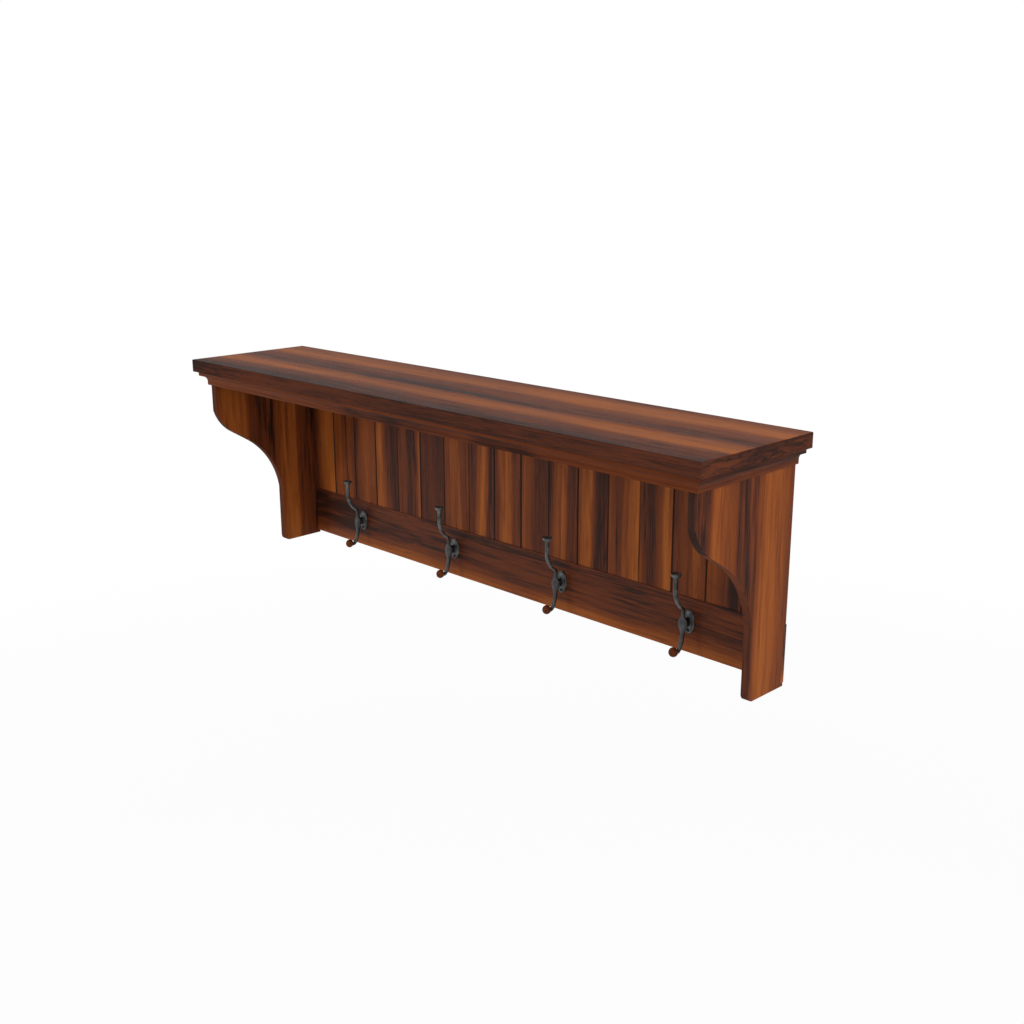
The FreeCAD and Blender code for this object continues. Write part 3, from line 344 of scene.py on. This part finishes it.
class Wiring:
    """A node tree, with short calls for the nodes that the finishes use."""

    def __init__(self, tree):
        self.tree = tree

    def add(self, kind, sockets=(), **settings):
        """A new node, with its settings made and its sockets fed."""
        item = self.tree.nodes.new(kind)
        for name, value in settings.items():
            setattr(item, name, value)
        for name, value in dict(sockets).items():
            self.feed(item.inputs[name], value)
        return item

    def feed(self, socket, value):
        if isinstance(value, bpy.types.NodeSocket):
            self.tree.links.new(value, socket)
        else:
            socket.default_value = value

    def maths(self, operation, *values):
        item = self.add("ShaderNodeMath", operation=operation)
        for socket, value in zip(item.inputs, values):
            self.feed(socket, value)
        return item.outputs[0]

    def stretched(self, vector, scale, seed=0.0):
        """The vector scaled, and shifted by the seed so that no two boards match."""
        shift = self.add("ShaderNodeCombineXYZ", {"X": seed, "Y": seed, "Z": seed})
        item = self.add("ShaderNodeMapping", {"Vector": vector, "Location": shift.outputs[0]})
        item.inputs["Scale"].default_value = scale
        return item.outputs[0]

    def noise(self, vector, detail=2.0, roughness=0.5):
        item = self.add("ShaderNodeTexNoise", {
            "Vector": vector, "Scale": 1.0, "Detail": detail, "Roughness": roughness})
        return item.outputs["Fac"]

    def swing(self, noise, reach):
        """Noise turned into a push to either side of nothing, reach at most."""
        return self.maths("MULTIPLY", self.maths("SUBTRACT", noise, NOISE_MIDDLE), 2.0 * reach)

    def ramp(self, factor, stops):
        """Runs from stop to stop, each stop a share and the tone or colour there."""
        stops = tuple(stops)
        item = self.add("ShaderNodeValToRGB", {"Fac": factor})
        points = item.color_ramp.elements
        while len(points) < len(stops):
            points.new(1.0)
        for point, (place, value) in zip(points, stops):
            point.position = place
            colour = value if isinstance(value, tuple) else (value, value, value)
            point.color = (*colour, 1.0)
        return item.outputs["Color"]

    def along(self, place, stops):
        """Runs from stop to stop, each stop a place in metres and the value there."""
        first, last = stops[0][0], stops[-1][0]
        share = self.fitted(place, first, last, 0.0, 1.0)
        raised = [((spot - first) / (last - first), value + RAMP_LIFT) for spot, value in stops]
        return self.maths("SUBTRACT", self.ramp(share, raised), RAMP_LIFT)

    def blend(self, kind, factor, first, second):
        item = self.add("ShaderNodeMix", data_type=kind)
        sockets = [s for s in item.inputs if s.enabled]
        for socket, value in zip(sockets, (factor, first, second)):
            self.feed(socket, value)
        return next(s for s in item.outputs if s.enabled)

    def fitted(self, value, low, high, new_low, new_high):
        item = self.add("ShaderNodeMapRange", {
            "Value": value, "From Min": low, "From Max": high, "To Min": new_low, "To Max": new_high})
        return item.outputs["Result"]

    def place(self):
        """Where the point lies in the frame that all pieces share."""
        return self.add("ShaderNodeTexCoord").outputs["Object"]

    def split(self, vector):
        return self.add("ShaderNodeSeparateXYZ", {"Vector": vector}).outputs

    def bumped(self, shader, height, depth, strength):
        """Gives the shader a skin that rises and falls with the height."""
        bump = self.add("ShaderNodeBump", {"Height": height, "Distance": depth, "Strength": strength})
        self.feed(shader.inputs["Normal"], bump.outputs["Normal"])

    def seen(self):
        """One where the picture sees the point straight, in a mirror or through glass."""
        rays = self.add("ShaderNodeLightPath").outputs
        bare = self.maths("MAXIMUM", rays["Is Camera Ray"], rays["Is Glossy Ray"])
        return self.maths("MAXIMUM", bare, rays["Is Transmission Ray"])


def streaked_hardwood():
    """The node group that all the wood shares: tone and grain in, colour, roughness and height out."""
    name = "Streaked hardwood"
    if name in bpy.data.node_groups:
        return bpy.data.node_groups[name]
    wood = bpy.context.scene.shelf_wood
    group = bpy.data.node_groups.new(name, "ShaderNodeTree")
    for label, way, kind in (
            ("Grain", "INPUT", "Vector"), ("Tone", "INPUT", "Float"), ("Seed", "INPUT", "Float"),
            ("Streaks", "INPUT", "Float"), ("Color", "OUTPUT", "Color"), ("Roughness", "OUTPUT", "Float"),
            ("Height", "OUTPUT", "Float")):
        group.interface.new_socket(label, in_out=way, socket_type=f"NodeSocket{kind}")
    w = Wiring(group)
    given = w.add("NodeGroupInput")
    grain, tone, seed, strength = (given.outputs[n] for n in ("Grain", "Tone", "Seed", "Streaks"))

    def grained(vector, turns, detail, roughness=0.5):
        return w.noise(w.stretched(vector, turns, seed), detail, roughness)

    def streaked(streaks, detail, roughness=0.5):
        lengthwise, multiple = streaks
        sideways = multiple / wood.streak_width
        return grained(lines, (lengthwise, sideways, sideways), detail, roughness)

    # grain lines wander a little, so the streaks are warped across the board
    wander = w.swing(grained(grain, WANDER_TURNS, detail=2.0), WANDER_SHARE * wood.drift)
    ripple = w.swing(grained(grain, RIPPLE_TURNS, detail=2.0), RIPPLE_SHARE * wood.drift)
    push = w.add("ShaderNodeCombineXYZ", {"Y": w.maths("ADD", wander, ripple)})
    warped = w.add("ShaderNodeVectorMath", operation="ADD")
    w.feed(warped.inputs[0], grain)
    w.feed(warped.inputs[1], push.outputs[0])
    lines = warped.outputs[0]

    broad = streaked(BROAD_STREAKS, detail=3.0, roughness=0.55)
    fine = streaked(FINE_STREAKS, detail=3.0, roughness=0.6)
    fibre = grained(lines, FIBRE_TURNS, detail=2.0)
    ridge = streaked(VEIN_STREAKS, detail=2.0)
    off_ridge = w.maths("ABSOLUTE", w.maths("SUBTRACT", ridge, NOISE_MIDDLE))
    vein = w.fitted(off_ridge, 0.0, VEIN_WIDTH, 1.0, 0.0)
    smoke = w.fitted(streaked(SMOKE_STREAKS, detail=3.0), *SMOKE_RANGE, 0.0, 1.0)
    pores = w.fitted(grained(lines, PORE_TURNS, detail=1.0), *PORE_RANGE, 0.0, 1.0)

    streaks = w.maths("ADD", w.swing(broad, BROAD_REACH), w.swing(fine, FINE_REACH))
    streaks = w.maths("SUBTRACT", streaks, w.maths("MULTIPLY", vein, VEIN_SHADE))
    streaks = w.maths("SUBTRACT", streaks, w.maths("MULTIPLY", smoke, SMOKE_SHADE))
    value = w.maths("ADD", tone, w.maths("MULTIPLY", streaks, strength))
    value = w.maths("ADD", value, w.swing(fibre, FIBRE_REACH))
    value = w.maths("SUBTRACT", value, w.maths("MULTIPLY", pores, PORE_SHADE))
    colours = (
        wood.vein_colour, wood.dark_colour, wood.middle_colour, wood.light_colour, wood.pale_colour)
    colour = w.ramp(value, zip(TONE_STEPS, map(tuple, colours)))
    roughness = w.maths(
        "ADD", w.fitted(fine, *MIDDLING, *WOOD_ROUGHNESS), w.maths("MULTIPLY", pores, PORE_ROUGHNESS))
    height = w.maths("SUBTRACT", w.maths("MULTIPLY", fibre, FIBRE_HEIGHT), pores)
    w.add("NodeGroupOutput", {"Color": colour, "Roughness": roughness, "Height": height})
    return group


def plain_shader(name, **sockets):
    """A new material: its shader with the sockets that are the same all over, and its wiring."""
    material = bpy.data.materials.new(name)
    material.use_nodes = True
    w = Wiring(material.node_tree)
    shader = material.node_tree.nodes["Principled BSDF"]
    for label, value in sockets.items():
        shader.inputs[label.replace("_", " ")].default_value = value
    return material, w, shader


def wood_material(name, along, across, span, bands, seed, face=None, edges=None, end_tone=None,
                  joints=(), streaks=1.0, gloss=None, drift=None, stretches=None, stretch_top=None):
    """Hardwood with its own bands.

    along, across: the axes of the grain and of the board's width.
    span: where the width starts and ends.
    bands, seed: its tones across the width, and what sets its noise apart.
    face, edges: the axis that the broad faces look along, and the tones of the edges along the grain.
    An edge is also duller and calmer than a face, and greyed by a painted sheen. A board without these
    looks the same all round.
    end_tone: the tone of the end grain, if it isn't that of the bands.
    joints: how dark the stain lies in the joints at the start and at the end of the width.
    streaks, gloss, drift: how strong the figure is, how shiny the board, and how far its bands wander,
    if they aren't as usual.
    stretches, stretch_top: how much lighter or darker the board is along the grain, and the share of
    the width up to which that holds.
    """
    wood = bpy.context.scene.shelf_wood
    material, w, shader = plain_shader(name)
    shader.inputs["Specular IOR Level"].default_value = gloss or wood.gloss
    parts = w.split(w.place())
    through = next(axis for axis in AXES if axis not in (along, across))
    long_way = w.add("ShaderNodeCombineXYZ", {
        "X": parts[along], "Y": parts[across], "Z": parts[through]}).outputs[0]
    end_way = w.add("ShaderNodeCombineXYZ", {
        "X": w.maths("MULTIPLY", parts[across], END_TURNS), "Y": parts[through],
        "Z": parts[along]}).outputs[0]
    sides = w.split(w.add("ShaderNodeNewGeometry").outputs["Normal"])
    end = w.fitted(w.maths("ABSOLUTE", sides[along]), *END_FACING, 0.0, 1.0)

    slow = w.noise(w.stretched(long_way, SLOW_DRIFT_TURNS, seed), detail=1.5)
    quick = w.noise(w.stretched(long_way, QUICK_DRIFT_TURNS, seed + QUICK_SEED_STEP), detail=2.0)
    drift = drift or wood.drift
    wander = w.maths("ADD", w.swing(slow, drift), w.swing(quick, QUICK_DRIFT * drift))
    share = w.fitted(w.maths("ADD", parts[across], wander), *span, 0.0, 1.0)
    tone = w.ramp(share, bands)
    if stretches:
        change = w.along(parts[along], stretches)
        if stretch_top:
            left = w.fitted(share, stretch_top, stretch_top + STRETCH_FADE, 1.0, 0.0)
            change = w.maths("MULTIPLY", change, left)
        tone = w.maths("ADD", tone, change)
    if face:
        broad = w.fitted(w.maths("ABSOLUTE", sides[face]), *FACE_FACING, 0.0, 1.0)
        tone = w.blend("FLOAT", broad, w.along(parts[along], edges), tone)
        streaks = w.blend("FLOAT", broad, EDGE_STREAKS * streaks, streaks)
    if end_tone is not None:
        tone = w.blend("FLOAT", end, tone, end_tone)
        streaks = w.blend("FLOAT", end, streaks, 1.0)
    figure = w.add("ShaderNodeGroup", node_tree=streaked_hardwood())
    for label, value in (
            ("Grain", w.blend("VECTOR", end, long_way, end_way)), ("Tone", tone), ("Seed", seed),
            ("Streaks", streaks)):
        w.feed(figure.inputs[label], value)

    colour = figure.outputs["Color"]
    roughness = figure.outputs["Roughness"]
    for edge, strength in zip(span, joints):
        away = w.maths("ABSOLUTE", w.maths("SUBTRACT", parts[across], edge))
        near, far = (part * wood.joint_width for part in STAIN_EDGE)
        stain = w.fitted(away, near, far, strength, 0.0)
        colour = w.blend("RGBA", stain, colour, (*wood.joint_colour, 1.0))
    if face:
        # Painted sheen: the edges are greyed as the oiled finish's reflection would grey them.
        colour = w.blend("RGBA", w.fitted(broad, 0.0, 1.0, EDGE_PAINTED_SHEEN, 0.0), colour, PAINTED_SHEEN_GREY)
        roughness = w.maths("ADD", roughness, w.fitted(broad, 0.0, 1.0, EDGE_DULLNESS, 0.0))
    w.feed(shader.inputs["Base Color"], colour)
    w.feed(shader.inputs["Roughness"], roughness)
    w.bumped(shader, figure.outputs["Height"], wood.pore_depth, WOOD_BUMP)
    return material


def iron_material():
    """Blackened cast iron with a sand-cast skin, a little brighter where it is rubbed, with painted shade
    on the lower prong, at the bend beside the knob and in the gap between leaf and plate.
    """
    iron = bpy.context.scene.shelf_iron
    material, w, shader = plain_shader("Cast iron", Metallic=0.1, Specular_IOR_Level=0.4)
    place = w.place()
    parts = w.split(place)
    skin = w.noise(w.stretched(place, (1.0 / iron.cast_grain,) * 3), detail=4.0, roughness=0.6)
    cloud = w.noise(w.stretched(place, WEAR_TURNS), detail=3.0)
    # Painted shade: by height, the lower prong and, more so, the bend beside the knob lose their wear and
    # go dark.
    painted_prong_shade = w.maths(
        "ADD", w.fitted(parts["Z"], *LOWER_PRONG, PRONG_SHADE, 0.0),
        w.fitted(parts["Z"], *PRONG_END, BEND_SHADE, 0.0))
    wear = w.maths("SUBTRACT", w.maths("ADD", cloud, w.swing(skin, WEAR_REACH)), painted_prong_shade)
    colour = w.ramp(wear, zip(WEAR_RANGE, (tuple(iron.iron_colour), tuple(iron.worn_colour))))
    # Painted shade in the gap between the leaf and the plate, darkening the iron there.
    behind = w.maths(
        "MULTIPLY", w.fitted(parts["Y"], *LEAF_BACK, 0.0, 1.0), w.fitted(parts["Y"], *PLATE_FACE, 1.0, 0.0))
    colour = w.blend("RGBA", behind, colour, (*iron.painted_shade_colour, 1.0))
    w.feed(shader.inputs["Base Color"], colour)
    w.feed(shader.inputs["Roughness"], w.fitted(cloud, *MIDDLING, *IRON_ROUGHNESS))
    w.bumped(shader, skin, iron.cast_depth, IRON_BUMP)
    return material


def head_material():
    """Steel screw heads as lit and shaded copies: the upper ones light as a painted highlight, the lower
    ones dark as painted shade.
    """
    iron = bpy.context.scene.shelf_iron
    material, w, shader = plain_shader("Screw steel", Metallic=0.3, Specular_IOR_Level=0.4)
    place = w.place()
    scuffs = w.noise(w.stretched(place, SCUFF_TURNS), detail=2.0)
    height = w.split(place)["Z"]
    # Painted highlight on the upper heads and painted shade on the lower ones, split at the plate's middle.
    bright = w.fitted(height, PLATE_MIDDLE - SCREW_GAP, PLATE_MIDDLE + SCREW_GAP, 0.0, 1.0)
    shade = w.maths("MULTIPLY", bright, w.fitted(scuffs, *MIDDLING, *SCUFF_SHADE))
    w.feed(shader.inputs["Base Color"], w.ramp(shade, (
        (0.0, tuple(iron.painted_shade_colour)), (1.0, tuple(iron.head_colour)))))
    w.feed(shader.inputs["Roughness"], w.fitted(scuffs, *MIDDLING, *HEAD_ROUGHNESS))
    w.bumped(shader, scuffs, SCUFF_DEPTH, SCUFF_BUMP)
    return material


def zinc_material():
    """Zinc plate with its fine crystals and a faint bloom."""
    iron = bpy.context.scene.shelf_iron
    material, w, shader = plain_shader("Zinc plate", Metallic=1.0)
    crystals = w.noise(w.stretched(w.place(), CRYSTAL_TURNS), detail=3.0)
    dull = tuple(CRYSTAL_DULLNESS * part for part in iron.zinc_colour)
    w.feed(shader.inputs["Base Color"], w.ramp(
        crystals, zip(MIDDLING, (dull, tuple(iron.zinc_colour)))))
    w.feed(shader.inputs["Roughness"], w.fitted(crystals, *MIDDLING, *ZINC_ROUGHNESS))
    w.bumped(shader, crystals, CRYSTAL_DEPTH, CRYSTAL_BUMP)
    return material


def dowel_material():
    """Pale beech with short dark flecks."""
    material, w, shader = plain_shader("Beech dowel", Specular_IOR_Level=0.3)
    fibre = w.noise(w.stretched(w.place(), BEECH_TURNS), detail=3.0)
    w.feed(shader.inputs["Base Color"], w.ramp(fibre, BEECH_COLOURS))
    w.feed(shader.inputs["Roughness"], w.fitted(fibre, *MIDDLING, *BEECH_ROUGHNESS))
    w.bumped(shader, fibre, BEECH_DEPTH, BEECH_BUMP)
    return material


def dress(piece, material):
    """Gives a piece its finish in every slot that it has."""
    if not piece.material_slots:
        piece.data.materials.append(material)
    for slot in piece.material_slots:
        slot.material = material


def named(start):
    """The frame's nodes whose names start so, in order."""
    return [NODES[name] for name in sorted(NODES) if name.startswith(start)]


def need(pieces, count, words):
    """The pieces again, once it is sure that there are as many as there should be."""
    if len(pieces) != count:
        raise RuntimeError(f"expected {count} {words}, found {len(pieces)}")
    return pieces


class SHELF_OT_board(bpy.types.Operator):
    """Finish the top board: long bands from end to end, plain edges"""

    bl_idname = "shelf.board"
    bl_label = "Top board"

    def execute(self, context):
        low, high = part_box("top_board")
        dress(NODES["top_board"], wood_material(
            "Board wood", "X", "Y", (high.y, low.y), TOP_BANDS, SEEDS["top_board"], face="Z",
            edges=TOP_EDGES, end_tone=BOARD_END_TONE, gloss=context.scene.shelf_wood.top_gloss,
            stretches=TOP_STRETCHES))
        return {"FINISHED"}


class SHELF_OT_mouldings(bpy.types.Operator):
    """Finish the three cove mouldings under the board, each with the grain along its run"""

    bl_idname = "shelf.mouldings"
    bl_label = "Cove mouldings"

    def execute(self, context):
        low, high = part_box("front_moulding")
        span = (low.z, high.z)
        drift = MOULDING_DRIFT * context.scene.shelf_wood.drift
        for side, along, bands, stretches in (
                ("front", "X", MOULDING_BANDS, MOULDING_STRETCHES), ("left", "Y", MOULDING_BANDS, None),
                ("right", "Y", RIGHT_MOULDING_BANDS, None)):
            dress(NODES[f"{side}_moulding"], wood_material(
                f"{side.capitalize()} moulding wood", along, "Z", span, bands,
                SEEDS[f"{side}_moulding"], streaks=MOULDING_STREAKS, drift=drift, stretches=stretches,
                stretch_top=COVE_TOP))
        return {"FINISHED"}


class SHELF_OT_brackets(bpy.types.Operator):
    """Finish the two side brackets with upright bands"""

    bl_idname = "shelf.brackets"
    bl_label = "Side brackets"

    def execute(self, context):
        for side, bands, edges in (
                ("left", LEFT_BRACKET_BANDS, LEFT_BRACKET_EDGES),
                ("right", RIGHT_BRACKET_BANDS, RIGHT_BRACKET_EDGES)):
            low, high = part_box(f"{side}_bracket")
            dress(NODES[f"{side}_bracket"], wood_material(
                f"{side.capitalize()} bracket wood", "Z", "Y", (high.y, low.y), bands,
                SEEDS[f"{side}_bracket"], face="X", edges=edges))
        return {"FINISHED"}


class SHELF_OT_planks(bpy.types.Operator):
    """Finish the back's planks, each sawn from another part of the tree"""

    bl_idname = "shelf.planks"
    bl_label = "Back planks"

    def execute(self, context):
        planks = need(named("plank_"), len(PLANK_BANDS), "planks")
        first_seed, seed_step = PLANK_SEEDS
        for number, (plank, bands) in enumerate(zip(planks, PLANK_BANDS), start=1):
            low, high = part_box(plank.name)
            span = (low.x, high.x - (TONGUE if number < len(planks) else 0.0))
            dress(plank, wood_material(
                f"Plank wood {number:02d}", "Z", "X", span, bands, first_seed + seed_step * number,
                joints=JOINT_STAINS[number - 1:number + 1], streaks=PLANK_STREAKS.get(number, 1.0),
                gloss=context.scene.shelf_wood.back_gloss))
        return {"FINISHED"}


class SHELF_OT_rail(bpy.types.Operator):
    """Finish the hook rail, darker along its top and lighter along its foot"""

    bl_idname = "shelf.rail"
    bl_label = "Hook rail"

    def execute(self, context):
        low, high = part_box("hook_rail")
        dress(NODES["hook_rail"], wood_material(
            "Rail wood", "X", "Z", (low.z, high.z), RAIL_BANDS, SEEDS["hook_rail"],
            gloss=context.scene.shelf_wood.back_gloss, stretches=RAIL_STRETCHES))
        return {"FINISHED"}


class SHELF_OT_hooks(bpy.types.Operator):
    """Finish the four cast hooks and the screws in their plates"""

    bl_idname = "shelf.hooks"
    bl_label = "Coat hooks"

    def execute(self, context):
        iron = iron_material()
        castings = [piece for piece in named("hook_") if piece.name.removeprefix("hook_").isdigit()]
        for hook in need(castings, HOOKS, "hooks"):
            dress(hook, iron)
        dress(NODES["hook_screws"], head_material())
        return {"FINISHED"}


class SHELF_OT_knobs(bpy.types.Operator):
    """Finish the turned knobs on the lower prongs"""

    bl_idname = "shelf.knobs"
    bl_label = "Turned knobs"

    def execute(self, context):
        first_seed, seed_step = KNOB_SEEDS
        for number, knob in enumerate(need(named("hook_knob_"), HOOKS, "knobs"), start=1):
            low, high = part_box(knob.name)
            dress(knob, wood_material(
                f"Knob wood {number}", "Y", "Z", (low.z, high.z), KNOB_BANDS,
                first_seed + seed_step * number))
        return {"FINISHED"}


class SHELF_OT_hardware(bpy.types.Operator):
    """Finish what the shelf hides: hangers, their screws, the rail's screws and the dowels"""

    bl_idname = "shelf.hardware"
    bl_label = "Hangers, screws and dowels"

    def execute(self, context):
        zinc = zinc_material()
        for name in ("left_hanger", "right_hanger", "hanger_screws", "rail_screws"):
            dress(NODES[name], zinc)
        dress(NODES["bracket_dowels"], dowel_material())
        return {"FINISHED"}


def soft_lamp(name, place, target, size, power):
    """A square area lamp that faces its target."""
    bpy.ops.object.light_add(type="AREA", location=place)
    lamp = bpy.context.object
    lamp.name = name
    lamp.data.shape = "SQUARE"
    lamp.data.size = size
    lamp.data.energy = power
    aim = [t - p for t, p in zip(target, place)]
    flat = math.hypot(aim[0], aim[1])
    lamp.rotation_euler = (math.atan2(flat, -aim[2]), 0.0, math.atan2(-aim[0], aim[1]))


def white_floor(stage):
    """A pale floor for the shelf's light, seen as nearly white by the picture."""
    material, w, shader = plain_shader("Studio floor", Roughness=0.8, Specular_IOR_Level=0.1)
    shader.inputs["Base Color"].default_value = (*stage.floor_colour, 1.0)
    white = w.add("ShaderNodeEmission", {"Color": WHITE, "Strength": 1.0})
    away = w.add("ShaderNodeVectorMath", {0: w.place()}, operation="LENGTH").outputs["Value"]
    fade = w.fitted(away, stage.floor_clear, FLOOR_FADE * stage.floor_clear, stage.floor_bleach, 1.0)
    mixed = w.add("ShaderNodeMixShader", {
        0: w.maths("MULTIPLY", w.seen(), fade), 1: shader.outputs["BSDF"], 2: white.outputs["Emission"]})
    w.feed(material.node_tree.nodes["Material Output"].inputs["Surface"], mixed.outputs[0])
    return material


def white_surroundings(stage):
    """Even light from all round, seen as white by the picture."""
    world = bpy.data.worlds.new("Pale surroundings")
    world.use_nodes = True
    world.node_tree.nodes.clear()
    w = Wiring(world.node_tree)
    light = w.add("ShaderNodeBackground", {"Color": WHITE, "Strength": stage.sky_strength})
    shown = w.add("ShaderNodeBackground", {"Color": WHITE, "Strength": 1.0})
    mixed = w.add("ShaderNodeMixShader", {0: w.seen(), 1: light.outputs[0], 2: shown.outputs[0]})
    w.add("ShaderNodeOutputWorld", {"Surface": mixed.outputs[0]})
    return world


class SHELF_OT_stage(bpy.types.Operator):
    """Set the floor, the soft lamps, the pale surroundings and the camera"""

    bl_idname = "shelf.stage"
    bl_label = "Stage"

    def execute(self, context):
        stage = context.scene.shelf_stage
        bpy.ops.object.select_all(action="DESELECT")
        bpy.ops.mesh.primitive_plane_add(
            size=FLOOR_SIZE, location=(0.0, 0.0, CAD_BOX[0][2] - stage.floor_drop))
        floor = context.object
        floor.name = "studio_floor"
        dress(floor, white_floor(stage))
        for lamp in LAMPS:
            soft_lamp(*lamp)
        context.scene.world = white_surroundings(stage)

        bpy.ops.object.camera_add(location=stage.camera_place, rotation=stage.camera_turn)
        camera = context.object
        camera.name = "studio_camera"
        camera.data.sensor_width = SENSOR_WIDTH
        camera.data.lens = stage.lens
        context.scene.camera = camera
        context.scene.view_settings.view_transform = "Standard"
        return {"FINISHED"}


PIECES = (
    SHELF_OT_board, SHELF_OT_mouldings, SHELF_OT_brackets, SHELF_OT_planks, SHELF_OT_rail,
    SHELF_OT_hooks, SHELF_OT_knobs, SHELF_OT_hardware, SHELF_OT_stage,
)


class SHELF_PT_panel(bpy.types.Panel):
    """The shelf's pieces and settings"""

    bl_idname = "SHELF_PT_panel"
    bl_label = "Wall shelf"
    bl_space_type = "VIEW_3D"
    bl_region_type = "UI"
    bl_category = "Wall shelf"

    def draw(self, context):
        for group in ("shelf_wood", "shelf_iron", "shelf_stage"):
            settings = getattr(context.scene, group)
            for name in settings.__annotations__:
                self.layout.prop(settings, name)
        for piece in PIECES:
            self.layout.operator(piece.bl_idname)


CLASSES = (WoodFinish, IronFinish, StageSettings) + PIECES + (SHELF_PT_panel,)


def register():
    for item in CLASSES:
        bpy.utils.register_class(item)
    bpy.types.Scene.shelf_wood = bpy.props.PointerProperty(type=WoodFinish)
    bpy.types.Scene.shelf_iron = bpy.props.PointerProperty(type=IronFinish)
    bpy.types.Scene.shelf_stage = bpy.props.PointerProperty(type=StageSettings)


def unregister():
    for name in ("shelf_wood", "shelf_iron", "shelf_stage"):
        delattr(bpy.types.Scene, name)
    for item in reversed(CLASSES):
        bpy.utils.unregister_class(item)


def main():
    register()
    bpy.ops.shelf.board()
    bpy.ops.shelf.mouldings()
    bpy.ops.shelf.brackets()
    bpy.ops.shelf.planks()
    bpy.ops.shelf.rail()
    bpy.ops.shelf.hooks()
    bpy.ops.shelf.knobs()
    bpy.ops.shelf.hardware()
    bpy.ops.shelf.stage()


if __name__ == "__main__":
    main()
